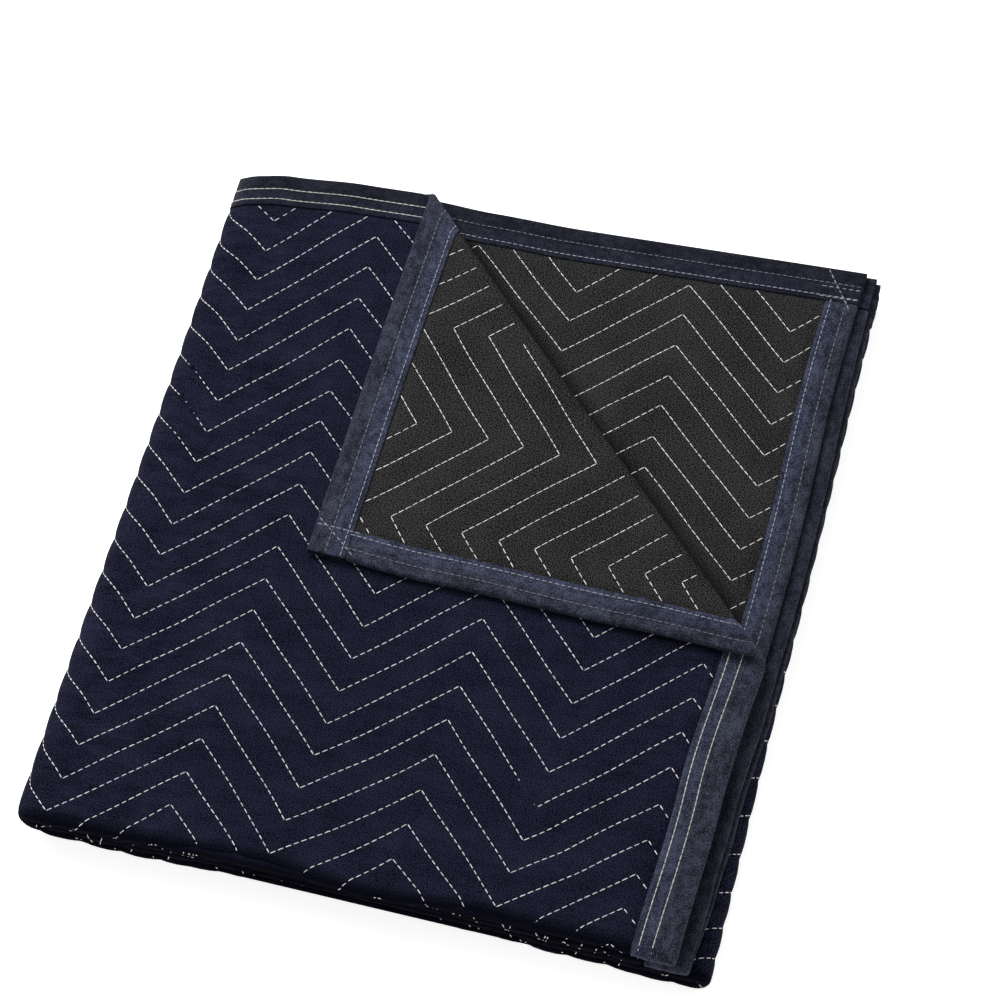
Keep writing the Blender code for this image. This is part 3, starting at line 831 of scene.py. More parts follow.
def strip_rings(places, on_bend, reach):
    """The rings of a binding; their slant grows and fades on both sides of the flap's bends."""
    if on_bend is None:
        return [Ring(place, 0.0, 0.0) for place in places]
    pasts = flap_bends()
    ends = [on_bend(0, past) for past in (pasts[0], pasts[-1])]
    first, last = (pasts[0], pasts[-1]) if ends[0] < ends[1] else (pasts[-1], pasts[0])
    start, stop = min(ends), max(ends)
    drift = on_bend(reach, first) - start
    fade = 1.25 * abs(drift)
    low = start - fade + min(0.0, drift)
    high = stop + fade + max(0.0, drift)
    rings = [Ring(place, 0.0, 0.0) for place in places if not low < place < high]
    fades = 5
    for step in range(fades + 1):
        share = step / fades
        rings.append(Ring(start - fade * (1 - share), share, first))
        rings.append(Ring(stop + fade * share, 1 - share, last))
    rings += [Ring(on_bend(0, past), 1.0, past) for past in pasts[1:-1]]
    return sorted(rings)


def make_strip(name, legs, ends, stops, on_bend, spot, way, sizes, material):
    """A binding strip folded over an edge of the cloth, a little uneven like tape."""
    section, outside = strip_profile(legs, sizes.face_steps)
    between = [place for place in stops if ends[0] + MERGE < place < ends[1] - MERGE]
    places = filled([ends[0], *between, ends[1]], sizes.ring_step)
    rings = strip_rings(places, on_bend, max(legs))
    points, flat, faces = [], [], []
    for place, slant, past in rings:
        for number, (inward, out) in enumerate(section):
            at = place
            if slant:
                at += slant * (on_bend(inward, past) - on_bend(0, past))
            at = max(ends[0], min(ends[1], at))
            extra = 0.0
            if number < outside and 0.001 < inward < legs[out < 0] - 0.0004:
                side = 1 if out > 0 else -1
                extra = side * strip_relief(at, inward, legs[out < 0], side, sizes)
            points.append(folded(*spot(at, inward), out + extra))
            flat.append((at, math.copysign(inward + 0.002, out)))
    size = len(section)
    for ring in range(len(rings) - 1):
        for i in range(size):
            j = (i + 1) % size
            a, b = ring * size + i, ring * size + j
            quad = (a, b, b + size, a + size)
            faces.append(quad[::-1] if way < 0 else quad)
    last = (len(rings) - 1) * size
    for first, turned in ((0, way < 0), (last, way > 0)):
        face = tuple(first + i for i in range(size))
        faces.append(face if turned else face[::-1])
    return add_piece(name, points, faces, material, flat)


def strip_relief(at, inward, leg, side, sizes):
    """Where a binding is drawn down by its stitches and puffs a little between them."""
    relief = 0.0
    for line in seam_lines(leg, side):
        relief -= sizes.tape_sink * math.exp(-(((inward - line) / 0.0016) ** 2))
    waves = math.sin(at / 0.0083) + 0.6 * math.sin(at / 0.0131 + 1.7)
    middle = math.sin(math.pi * max(0.0, min(1.0, inward / leg)))
    return relief + 0.00022 * waves * middle


def seam_lines(leg, side):
    """Distances from the cloth's edge of the two stitch lines that hold a binding."""
    if side > 0:
        return leg - 0.0045, leg - 0.0130
    return leg - 0.0033, leg - 0.0138


class Wire:
    """One output in a shader tree, so that shader sums can be written as formulas."""

    def __init__(self, tree, socket=None):
        self.tree = tree
        self.socket = socket

    def node(self, kind, settings=None, inputs=None, output=0):
        """A new node with these settings, its inputs joined or set; the wire of one output."""
        node = self.tree.nodes.new(kind)
        for name, value in (settings or {}).items():
            setattr(node, name, value)
        for name, value in (inputs or {}).items():
            self.join(value, node.inputs[name])
        return Wire(self.tree, node.outputs[output])

    def join(self, value, socket):
        if isinstance(value, Wire):
            self.tree.links.new(value.socket, socket)
        else:
            socket.default_value = value

    def sums(self, operation, *values):
        return self.node("ShaderNodeMath", {"operation": operation}, dict(enumerate(values)))

    def __add__(self, other):
        return self.sums("ADD", self, other)

    def __sub__(self, other):
        return self.sums("SUBTRACT", self, other)

    def __rsub__(self, other):
        return self.sums("SUBTRACT", other, self)

    def __mul__(self, other):
        return self.sums("MULTIPLY", self, other)

    def __truediv__(self, other):
        return self.sums("DIVIDE", self, other)

    def __abs__(self):
        return self.sums("ABSOLUTE", self)

    __radd__ = __add__
    __rmul__ = __mul__

    def wave(self, pitch):
        """A wave from -1 to 1 that repeats at every pitch of this length."""
        return self.sums("SINE", self * (math.tau / pitch))

    def ping(self, top):
        return self.sums("PINGPONG", self, top)

    def least(self, other):
        return self.sums("MINIMUM", self, other)

    def most(self, other):
        return self.sums("MAXIMUM", self, other)

    def ramp(self, low, high, start=0.0, end=1.0):
        """Rises softly from start to end as this goes from low to high."""
        return self.node(
            "ShaderNodeMapRange",
            {"interpolation_type": "SMOOTHSTEP"},
            {"Value": self, 1: low, 2: high, 3: start, 4: end},
        )

    def mixed(self, first, second):
        """A colour that goes from first to second as this goes from 0 to 1."""
        return self.node(
            "ShaderNodeMix", {"data_type": "RGBA"}, {0: self, 6: first, 7: second}, 2
        )

    def vector(self, x, y, z=0.0):
        return self.node("ShaderNodeCombineXYZ", None, {0: x, 1: y, 2: z})

    def noise(self, x, y, detail=3.0, rough=0.55):
        """Noise over two lengths that are already divided by the size of its grain."""
        return self.node(
            "ShaderNodeTexNoise",
            {"noise_dimensions": "2D"},
            {"Vector": self.vector(x, y), "Scale": 1.0, "Detail": detail, "Roughness": rough},
        )


def rgb(colour):
    return (*colour, 1.0)


CLOTH_ROUGHNESS = 0.95
CLOTH_SPECULAR = 0.03
# Sizes of the cloth's unevenness, in metres on the flat blanket
GATHER_LENGTH = 0.0070
GATHERS_PER_ROW = 0.9
PUCKER_LENGTH = 0.020
PUCKER_WIDTH = 0.0080
CREASE_LENGTH = 0.050
CREASE_WIDTH = 0.022
GRAIN_LENGTH = 0.0008
THREAD_PITCH = 0.00125
TWILL_PITCH = 0.0019
FUZZ_LENGTH = 0.0010
FELT_LENGTH = 0.0062
FELT_WIDTH = 0.0045


class Cloth:
    """A cloth material under way: its tree, its shader and its place on the flat blanket."""

    def __init__(self, name, roughness, sheen):
        self.material = bpy.data.materials.new(name)
        self.material.use_nodes = True
        tree = self.material.node_tree
        self.shader = tree.nodes["Principled BSDF"]
        self.shader.inputs["Roughness"].default_value = roughness
        self.shader.inputs["Metallic"].default_value = 0.0
        self.shader.inputs["Specular IOR Level"].default_value = CLOTH_SPECULAR
        self.shader.inputs["Sheen Weight"].default_value = sheen
        self.shader.inputs["Sheen Roughness"].default_value = 0.5
        self.wire = Wire(tree)
        flat = self.wire.node("ShaderNodeUVMap", {"uv_map": "flat"})
        parts = tree.nodes.new("ShaderNodeSeparateXYZ")
        tree.links.new(flat.socket, parts.inputs[0])
        self.along = Wire(tree, parts.outputs[0])
        self.across = Wire(tree, parts.outputs[1])

    def seams(self):
        """Which row of quilting passes here, and 0 on a seam to 1 half way to the next."""
        phase = self.wire.node("ShaderNodeAttribute", {"attribute_name": "phase"}, None, 2)
        return phase, phase.ping(0.5) * 2

    def gathers(self, phase):
        """The cloth drawn up into small gathers that follow the rows of quilting."""
        return self.wire.noise(self.along / GATHER_LENGTH, phase * GATHERS_PER_ROW, 2.0, 0.5)

    def finish(self, colour, height):
        """Joins the colour, and the height of the surface in metres."""
        self.wire.join(colour, self.shader.inputs["Base Color"])
        bump = self.wire.node(
            "ShaderNodeBump", None, {"Strength": 1.0, "Distance": 1.0, "Height": height}
        )
        self.wire.join(bump, self.shader.inputs["Normal"])
        return self.material


def near_side_shade(cloth, sizes):
    """1 on the layers' upper and lower faces, dark where a near fold turns out of the light."""
    depth = (cloth.across + NEAR_HALF_ARC * 0.4) / NEAR_HALF_ARC
    return abs(depth).ramp(0.5, 2.6, sizes.near_shade, 1.0)


def flap_shade(cloth, sizes):
    """1 but for the second layer's cloth beside the corner's fold, which is in its shade."""
    x = TOP_EDGE_X - cloth.along
    y = abs(cloth.across) + (NEAR_CENTRE_Y - NEAR_HALF_ARC)
    past = x * FLAP_NORMAL[0] + y * FLAP_NORMAL[1] - FLAP_LINE
    second = (cloth.across / -0.002).least(1.0).most(0.0)
    shade = past.ramp(0.005, 0.019, sizes.flap_shade - 1.0, 0.0)
    return shade * second + 1.0


def navy_material(sizes):
    cloth = Cloth("navy cloth", CLOTH_ROUGHNESS, 0.0)
    u, v = cloth.along, cloth.across
    phase, gap = cloth.seams()
    gathers = cloth.gathers(phase)
    puckers = cloth.wire.noise(u / PUCKER_LENGTH, v / PUCKER_WIDTH, 3.0, 0.55)
    folds = cloth.wire.noise(u / CREASE_LENGTH, v / CREASE_WIDTH, 2.0, 0.5)
    soft = cloth.wire.noise(u / 0.045, v / 0.030, 3.0)
    grain = cloth.wire.noise(u / GRAIN_LENGTH, v / 0.0007, 1.0, 0.6)
    threads = u.wave(THREAD_PITCH) * v.wave(THREAD_PITCH)
    near_seam = gap.ramp(0.05, 0.85, 1.0, 0.15)
    beside_fold = u.ramp(TOP_RUN - 0.11, TOP_RUN, 1.0, 1.9)
    height = (
        gathers * near_seam * sizes.gather_height
        + puckers * beside_fold * sizes.pucker_height
        + folds * sizes.fold_height
        + (grain * 1.2 + threads * 0.35) * sizes.weave_height
    )
    # Painted shade: the tone follows the puckers and gathers, which also make the bump, so their
    # hollows are darker; the soft mottle is random
    drift = (soft - 0.5) * 0.8 + (puckers - 0.5) * beside_fold * 0.55 + (gathers - 0.5) * 0.3
    tone = ((grain - 0.5) * sizes.grain_contrast + drift + threads * 0.10 + 0.40).ramp(0, 1)
    tone = tone * near_side_shade(cloth, sizes)
    colour = tone.mixed(rgb(sizes.navy_dark), rgb(sizes.navy_light))
    return cloth.finish(colour, height)


def black_material(sizes):
    cloth = Cloth("black backing", CLOTH_ROUGHNESS, 0.0)
    u, v = cloth.along, cloth.across
    phase, gap = cloth.seams()
    gathers = cloth.gathers(phase)
    soft = cloth.wire.noise(u / 0.045, v / 0.040, 3.0)
    grain = cloth.wire.noise(u / GRAIN_LENGTH, v / GRAIN_LENGTH, 1.0, 0.6)
    twill = (u + v).wave(TWILL_PITCH)
    cross = (u - v).wave(TWILL_PITCH)
    near_seam = gap.ramp(0.05, 0.75, 1.0, 0.3)
    height = (
        gathers * near_seam * sizes.gather_height * 0.6
        + (twill * 0.6 + cross * 0.25 + grain) * sizes.weave_height
    )
    # Painted shade: the tone follows the gathers, which also make the bump, so their hollows are
    # darker; the soft mottle and the twill are the cloth's own
    drift = (soft - 0.5) * 0.7 + (gathers - 0.5) * 0.2 + twill * 0.16 + cross * 0.08
    tone = ((grain - 0.5) * sizes.grain_contrast + drift + 0.40).ramp(0, 1)
    tone = tone * flap_shade(cloth, sizes) * near_side_shade(cloth, sizes)
    colour = tone.mixed(rgb(sizes.black_dark), rgb(sizes.black_light))
    return cloth.finish(colour, height)


def binding_material(strip, sizes):
    """Brushed tape: a dull outer part, a bluer part where it is folded under, and painted shade
    over whole strips.
    """
    cloth = Cloth(strip.name, CLOTH_ROUGHNESS, 0.05)
    u, v = cloth.along, cloth.across
    inward = abs(v) - 0.002
    fuzz = cloth.wire.noise(u / FUZZ_LENGTH, v / FUZZ_LENGTH, 3.0, 0.75)
    felt = cloth.wire.noise(u / FELT_LENGTH, v / FELT_WIDTH, 3.0, 0.6)
    soft = cloth.wire.noise(u / 0.030, v / 0.020, 2.0)
    height = felt * sizes.felt_height + fuzz * sizes.fuzz_height
    black_side = (v / -0.001).most(0.0).least(1.0)
    leg = black_side * (strip.legs[1] - strip.legs[0]) + strip.legs[0]
    inner = (inward / leg).ramp(0.46, 0.60)
    mottle = (fuzz - 0.5) * sizes.fuzz_contrast + (felt - 0.5) * 1.3 + (soft - 0.5) * 0.8
    dull = (mottle + 0.42).ramp(0, 1)
    outer_colour = dull.mixed(rgb(sizes.tape_dark), rgb(sizes.tape_light))
    inner_colour = dull.mixed(rgb(sizes.hem_dark), rgb(sizes.hem_light))
    colour = inner.mixed(outer_colour, inner_colour)
    # Painted shade: each strip is mixed towards the deep slate by its own factor on the navy and on
    # the black side, so one tape shows as lit and shaded copies
    shade = black_side * (strip.shades[1] - strip.shades[0]) + strip.shades[0]
    return cloth.finish(shade.mixed(rgb(sizes.tape_painted_shade), colour), height)


def thread_material(name, colour):
    material = bpy.data.materials.new(name)
    material.use_nodes = True
    tree = material.node_tree
    shader = tree.nodes["Principled BSDF"]
    shader.inputs["Roughness"].default_value = 0.6
    shader.inputs["Sheen Weight"].default_value = 0.1
    wire = Wire(tree)
    place = wire.node("ShaderNodeTexCoord", None, None, 3)
    twist = wire.node(
        "ShaderNodeTexNoise", None, {"Vector": place, "Scale": 900.0, "Detail": 2.0}
    )
    dim = tuple(0.72 * part for part in colour)
    wire.join(twist.ramp(0.3, 0.7).mixed(rgb(dim), rgb(colour)), shader.inputs["Base Color"])
    bump = wire.node("ShaderNodeBump", None, {"Distance": 0.0001, "Height": twist})
    wire.join(bump, shader.inputs["Normal"])
    return material


def stitch_shape(length, width, height):
    """One stitch: a thread that dips into the cloth at both ends."""
    points, faces = [], []
    rings = ((-0.5, 0.25, -0.9), (-0.36, 0.85, 0.0), (0.0, 1.0, 0.35), (0.36, 0.85, 0.0))
    rings += ((0.5, 0.25, -0.9),)
    sides = 6
    for reach, scale, rise in rings:
        for i in range(sides):
            turn = math.tau * i / sides
            y = 0.5 * width * scale * math.cos(turn)
            z = 0.5 * height * (scale * math.sin(turn) + rise)
            points.append((reach * length, y, z))
    for ring in range(len(rings) - 1):
        for i in range(sides):
            j = (i + 1) % sides
            a, b = ring * sides + i, ring * sides + j
            faces.append((a, b, b + sides, a + sides))
    faces.append(tuple(reversed(range(sides))))
    last = (len(rings) - 1) * sides
    faces.append(tuple(range(last, last + sides)))
    mesh = bpy.data.meshes.new("stitch_shape")
    mesh.from_pydata(points, [], faces)
    shape = bpy.data.objects.new("stitch_shape", mesh)
    bpy.context.scene.collection.objects.link(shape)
    return shape


def stitching_tree(name):
    """Geometry nodes that lay one stitch after another along the lines they are given."""
    tree = bpy.data.node_groups.new(name, "GeometryNodeTree")
    face = tree.interface
    face.new_socket("Lines", in_out="INPUT", socket_type="NodeSocketGeometry")
    for label, kind in (
        ("Pitch", "NodeSocketFloat"),
        ("Shape", "NodeSocketObject"),
        ("Thread", "NodeSocketMaterial"),
        ("Seed", "NodeSocketInt"),
    ):
        face.new_socket(label, in_out="INPUT", socket_type=kind)
    face.new_socket("Stitches", in_out="OUTPUT", socket_type="NodeSocketGeometry")
    wire = Wire(tree)
    entry = tree.nodes.new("NodeGroupInput")
    given = {socket.name: Wire(tree, socket) for socket in entry.outputs}
    curves = wire.node("GeometryNodeMeshToCurve", None, {"Mesh": given["Lines"]})
    spaced = wire.node(
        "GeometryNodeResampleCurve",
        {"mode": "LENGTH"},
        {"Curve": curves, "Length": given["Pitch"]},
    )
    ahead = wire.node("GeometryNodeInputTangent")
    outward = wire.node(
        "GeometryNodeInputNamedAttribute", {"data_type": "FLOAT_VECTOR"}, {"Name": "outward"}
    )
    turned = wire.node(
        "FunctionNodeAxesToRotation",
        {"primary_axis": "X", "secondary_axis": "Z"},
        {0: ahead, 1: outward},
    )
    shape = wire.node("GeometryNodeObjectInfo", None, {"Object": given["Shape"]}, 4)
    size = wire.node(
        "FunctionNodeRandomValue",
        {"data_type": "FLOAT_VECTOR"},
        {0: (0.86, 0.85, 0.85), 1: (1.04, 1.15, 1.15), "Seed": given["Seed"]},
    )
    laid = wire.node(
        "GeometryNodeInstanceOnPoints",
        None,
        {"Points": spaced, "Instance": shape, "Rotation": turned, "Scale": size},
    )
    real = wire.node("GeometryNodeRealizeInstances", None, {"Geometry": laid})
    done = wire.node(
        "GeometryNodeSetMaterial", None, {"Geometry": real, "Material": given["Thread"]}
    )
    leave = tree.nodes.new("NodeGroupOutput")
    wire.join(done, leave.inputs[0])
    return tree


def sew(name, lines, pitch, shape, thread, seed):
    """A piece of stitches along lines, each a list of (point, outward direction)."""
    points, edges, outwards = [], [], []
    for line in lines:
        first = len(points)
        points += [point for point, _ in line]
        outwards += [part for _, outward in line for part in outward]
        edges += [(i, i + 1) for i in range(first, len(points) - 1)]
    mesh = bpy.data.meshes.new(name + "_lines")
    mesh.from_pydata(points, edges, [])
    attribute = mesh.attributes.new("outward", "FLOAT_VECTOR", "POINT")
    attribute.data.foreach_set("vector", outwards)
    guide = bpy.data.objects.new(name + "_lines", mesh)
    bpy.context.scene.collection.objects.link(guide)
    modifier = guide.modifiers.new("stitching", "NODES")
    modifier.node_group = stitching_tree(name)
    values = {"Pitch": pitch, "Shape": shape, "Thread": thread, "Seed": seed}
    for item in modifier.node_group.interface.items_tree:
        if item.in_out == "INPUT" and item.name in values:
            modifier[item.identifier] = values[item.name]
    graph = bpy.context.evaluated_depsgraph_get()
    sewn = bpy.data.meshes.new_from_object(guide.evaluated_get(graph))
    if not sewn.polygons:
        raise RuntimeError(f"{name}: no stitches were made")
    bpy.data.objects.remove(guide)
    sewn.name = name
    sewn.shade_smooth()
    piece = bpy.data.objects.new(name, sewn)
    bpy.context.scene.collection.objects.link(piece)
    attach(piece, "root")
    return piece


def laid_on(side, places, out):
    return [(folded(a, b, side * out), facing(a, b, side)) for a, b in places]


def near_crossings(region):
    """Where the rows in a band round the near fold cross it, each with the way it leans."""
    crossings = []
    for places in rows_in(region, (0,), 0.002):
        for first, second in zip(places, places[1:]):
            if min(first[1], second[1]) < NEAR_CROSSING <= max(first[1], second[1]):
                rises = (second[0] - first[0]) * (second[1] - first[1]) > 0
                crossings.append((first[0], 1 if rises else -1))
    return crossings


def near_rows(region):
    """Short lines over the near fold: gathered cloth there turns the rows almost upright."""
    lines = []
    for along, lean in near_crossings(region):
        steps = [NEAR_ROW_FROM + (NEAR_ROW_TO - NEAR_ROW_FROM) * i / 6 for i in range(7)]
        lines.append([(along + lean * NEAR_LEAN * across, across) for across in steps])
    return lines


def shown_rows(side, in_end, in_side):
    """Every row of quilting that is sewn on one face, leg by leg."""
    regions = shown_regions(side, in_end, in_side)
    if side < 0:
        return [line for region in regions for line in rows_in(region, (0,), 0.004, True)]
    lines = rows_in(regions[0] + [(0, -1, -NEAR_ROW_TO)], (0,), 0.004, True)
    middle = 0.5 * (SECTIONS[1].start + SECTIONS[1].run + SECTIONS[2].start)
    for line in rows_in(regions[1], (0,), 0.004, True):
        lines.append([(2 * middle - along, across) for along, across in line])
    for region in regions[2:]:
        lines += near_rows(region)
    return lines


def quilting_stitches(side, cloth, pitch):
    """Lines of the seams that show on one face, ready to sew; they lie on its relief."""
    relief = Relief(side, cloth)
    in_end = END_LEGS[side < 0] + LEDGE_CLEAR + 0.0004
    in_side = LONG_LEGS[side < 0] + LEDGE_CLEAR + 0.0004
    lines = []
    for places in shown_rows(side, in_end, in_side):
        places = trimmed(places, pitch / 2)
        if places is None:
            continue
        line = []
        for a, b in places:
            out = relief.out(a, b) + cloth.stitch_rise
            line.append((folded(a, b, side * out), facing(a, b, side)))
        lines.append(line)
    return lines


# The bindings: which edge each one covers, from where to where, which way it faces,
# and how much painted shade darkens it on the navy and on the black side, as a factor
Strip = namedtuple("Strip", "name node legs edge ends way shades")
STRIPS = (
    Strip(
        name="binding_long_upper",
        node="long_binding_upper",
        legs=LONG_LEGS,
        edge="side_up",
        ends="whole",
        way=1,
        shades=(0.32, 1.0),
    ),
    Strip(
        name="binding_long_lower",
        node="long_binding_lower",
        legs=LONG_LEGS,
        edge="side_low",
        ends="whole",
        way=-1,
        shades=(0.7, 0.35),
    ),
    Strip(
        name="binding_end_top",
        node="end_binding_top",
        legs=END_LEGS,
        edge="end_first",
        ends="between",
        way=1,
        shades=(1.0, 1.0),
    ),
    Strip(
        name="binding_end_inner",
        node="end_binding_inner",
        legs=END_LEGS,
        edge="end_last",
        ends="between",
        way=-1,
        shades=(0.7, 0.7),
    ),
)

SPOTS = {
    "side_up": lambda place, inward: (place, HALF_WIDTH - inward),
    "side_low": lambda place, inward: (place, inward - HALF_WIDTH),
    "end_first": lambda place, inward: (inward, place),
    "end_last": lambda place, inward: (LENGTH - inward, place),
}

STRIP_ENDS = {
    "whole": (-BINDING_PAST_EDGE, LENGTH + BINDING_PAST_EDGE),
    "between": (-END_STRIP_REACH, END_STRIP_REACH),
}


def bend_on_side(inward, past):
    return bend_along(HALF_WIDTH - inward, past)


# Where the turned-back corner's bends cross a binding
BENDS = {"side_up": bend_on_side, "end_first": bend_across}


# Stitch lines on the bindings that show: which edge and face, from where to where
TapeSeam = namedtuple("TapeSeam", "edge side line first last thread")
FLAP_FAR = bend_along(HALF_WIDTH, 0)
BIG_FOLD_END = SECTIONS[1].start
TAPE_SEAMS = (
    TapeSeam("side_up", 1, 0, FLAP_FAR - 0.004, BIG_FOLD_END, "cream"),
    TapeSeam("side_up", 1, 1, FLAP_FAR - 0.004, BIG_FOLD_END, "cream"),
    TapeSeam("side_up", -1, 0, 0.001, FLAP_FAR, "pale"),
    TapeSeam("side_up", -1, 1, 0.001, FLAP_FAR, "dark"),
    TapeSeam("side_low", -1, 0, 0.001, FLAP_FAR + 0.02, "pale"),
    TapeSeam("side_low", -1, 1, 0.001, FLAP_FAR + 0.02, "dark"),
    TapeSeam("end_first", 1, 0, -0.03, FLAP_BASE + 0.01, "cream"),
    TapeSeam("end_first", 1, 1, -0.03, FLAP_BASE + 0.01, "cream"),
    TapeSeam("end_first", -1, 0, FLAP_BASE, END_STRIP_REACH, "pale"),
    TapeSeam("end_first", -1, 1, FLAP_BASE, END_STRIP_REACH, "dark"),
    TapeSeam("end_first", -1, 0, -END_STRIP_REACH, 0.04 - FLAP_BASE, "pale"),
    TapeSeam("end_first", -1, 1, -END_STRIP_REACH, 0.04 - FLAP_BASE, "dark"),
)

# Short seams that hold the corners, on the black side: start and end on the flat blanket
CornerSeam = namedtuple("CornerSeam", "along across to_along to_across")
CORNER_SEAMS = (
    CornerSeam(0.001, -0.4985, 0.0235, -0.4985),
    CornerSeam(0.001, -0.4905, 0.0235, -0.4905),
    CornerSeam(0.0225, -0.5105, 0.0045, -0.4845),
    CornerSeam(0.0030, 0.4850, 0.0225, 0.5110),
    CornerSeam(0.0190, 0.4850, 0.0190, 0.5110),
)


def tape_lines(thread):
    """Lines of the bindings' seams of one thread, ready to sew."""
    legs_of = {strip.edge: strip.legs for strip in STRIPS}
    lines = []
    for seam in TAPE_SEAMS:
        if seam.thread != thread:
            continue
        leg = legs_of[seam.edge][seam.side < 0]
        inward = seam_lines(leg, seam.side)[seam.line]
        places = filled([seam.first, seam.last], 0.004)
        spots = [SPOTS[seam.edge](place, inward) for place in places]
        lines.append(laid_on(seam.side, spots, BINDING_OUTER + 0.00005))
    if thread == "pale":
        for seam in CORNER_SEAMS:
            spots = [
                (
                    seam.along + (seam.to_along - seam.along) * i / 6,
                    seam.across + (seam.to_across - seam.across) * i / 6,
                )
                for i in range(7)
            ]
            lines.append(laid_on(-1, spots, BINDING_OUTER + 0.0001))
    return lines


def length_property(name, description, default):
    return bpy.props.FloatProperty(
        name=name,
        description=description,
        default=default,
        min=0.0,
        subtype="DISTANCE",
        unit="LENGTH",
        precision=5,
    )


def colour_property(name, description, default):
    return bpy.props.FloatVectorProperty(
        name=name, description=description, default=default, size=3, subtype="COLOR"
    )


class ClothSizes(bpy.types.PropertyGroup):
    seam_out: length_property("Seam", "Half thickness of the cloth at a seam", 0.0015)
    puff_out: length_property("Puff", "Half thickness between two seams", 0.0027)
    mesh_step: length_property("Mesh step", "Spacing of points along the quilting", 0.006)
    rim_step: length_property("Rim step", "Spacing of points round the outline", 0.030)
    weave_height: length_property("Weave", "Height of the weave", 0.00018)
    gather_height: length_property("Gathers", "Height of the gathers at seams", 0.0020)
    pucker_height: length_property("Puckers", "Height of the soft puckers", 0.0022)
    fold_height: length_property("Folds", "Height of the broad, soft folds", 0.0040)
    stitch_rise: length_property("Stitch rise", "How far the quilting thread stands up", 0.00022)
    near_shade: bpy.props.FloatProperty(
        name="Near side", description="Tone of the near folds", default=0.05, subtype="FACTOR"
    )
    flap_shade: bpy.props.FloatProperty(
        name="Corner shade", description="Tone beside the corner", default=0.25, subtype="FACTOR"
    )
    grain_contrast: bpy.props.FloatProperty(
        name="Grain", description="How much the threads differ in tone", default=6.0
    )
    navy_dark: colour_property("Navy, dark", "Deepest navy", (0.0010, 0.0010, 0.0036))
    navy_light: colour_property("Navy, light", "Lightest navy", (0.0190, 0.0202, 0.0440))
    black_dark: colour_property("Black, dark", "Deepest black", (0.0030, 0.0030, 0.0030))
    black_light: colour_property("Black, light", "Lightest black", (0.0440, 0.0440, 0.0440))


class BindingSizes(bpy.types.PropertyGroup):
    face_steps: bpy.props.IntProperty(
        name="Face steps", description="Points across a face", default=9, min=3
    )
    ring_step: length_property("Ring step", "Spacing of points along a binding", 0.006)
    tape_sink: length_property("Stitch sink", "How deep a seam draws it in", 0.00045)
    felt_height: length_property("Felt", "Height of the brushed surface", 0.0012)
    fuzz_height: length_property("Fuzz", "Height of the finest fibres", 0.00035)
    fuzz_contrast: bpy.props.FloatProperty(
        name="Nap", description="How much the fibres differ in tone", default=3.6
    )
    # Colour of the painted shade that whole strips are mixed towards
    tape_painted_shade: colour_property("Slate, deep", "Where the nap looks dark", (0.002, 0.002, 0.005))
    tape_dark: colour_property("Slate, dark", "Outer part", (0.0080, 0.0090, 0.0145))
    tape_light: colour_property("Slate, light", "Outer part", (0.049, 0.0545, 0.084))
    hem_dark: colour_property("Blue, dark", "Inner part", (0.010, 0.012, 0.021))
    hem_light: colour_property("Blue, light", "Inner part", (0.060, 0.068, 0.114))


class StitchSizes(bpy.types.PropertyGroup):
    quilt_pitch: length_property("Quilting pitch", "From one stitch to the next", 0.0050)
    quilt_length: length_property("Quilting stitch", "Length on the navy face", 0.0039)
    back_length: length_property("Back stitch", "Length on the black face", 0.0048)
    tape_pitch: length_property("Binding pitch", "From one stitch to the next", 0.0042)
    tape_length: length_property("Binding stitch", "Length on the black side", 0.0036)
    cream_length: length_property("Cream stitch", "Length on the navy side", 0.0046)
    thread_width: length_property("Thread", "Width of the quilting thread", 0.00055)
    tape_width: length_property("Binding thread", "Width of the bindings' thread", 0.00080)
    white: colour_property("White thread", "Quilting", (0.90, 0.90, 0.89))
    cream: colour_property("Cream thread", "Bindings, navy side", (0.46, 0.47, 0.42))
    pale: colour_property("Pale thread", "Bindings, black side", (0.24, 0.255, 0.31))
    dark: colour_property("Dark thread", "Bindings, black side", (0.105, 0.115, 0.150))


class StageSizes(bpy.types.PropertyGroup):
    focal: bpy.props.FloatProperty(
        name="Focal length", description="In mm", default=137.99, subtype="DISTANCE_CAMERA"
    )
    floor_grey: bpy.props.FloatProperty(
        name="Floor", description="Reflectance of the floor", default=0.75, subtype="FACTOR"
    )
    floor_glow: bpy.props.FloatProperty(
        name="Floor glow", description="Light of the floor itself, like a light table", default=0.75
    )
    key_power: bpy.props.FloatProperty(
        name="Key light", description="Power of the large top light", default=58.0
    )
    fill: bpy.props.FloatProperty(
        name="Fill", description="Strength of the light all round", default=0.55
    )


class BLANKET_OT_panels(bpy.types.Operator):
    """Make the navy face and the black backing of the quilt"""

    bl_idname = "blanket.panels"
    bl_label = "Quilted panels"

    def execute(self, context):
        sizes = context.scene.blanket_cloth
        navy = make_panel("quilt_navy_face", 1, sizes, navy_material(sizes))
        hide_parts("navy_face_panel")
        black = make_panel("quilt_black_back", -1, sizes, black_material(sizes))
        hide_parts("black_backing_panel")
        return {"FINISHED"}


class BLANKET_OT_bindings(bpy.types.Operator):
    """Make the four slate bindings"""

    bl_idname = "blanket.bindings"
    bl_label = "Bindings"

    def execute(self, context):
        sizes = context.scene.blanket_binding
        alongs, acrosses = stations(0.030)
        for strip in STRIPS:
            material = binding_material(strip, sizes)
            stops = alongs if strip.ends == "whole" else acrosses
            piece = make_strip(
                strip.name,
                strip.legs,
                STRIP_ENDS[strip.ends],
                stops,
                BENDS.get(strip.edge),
                SPOTS[strip.edge],
                strip.way,
                sizes,
                material,
            )
            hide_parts(strip.node)
        return {"FINISHED"}


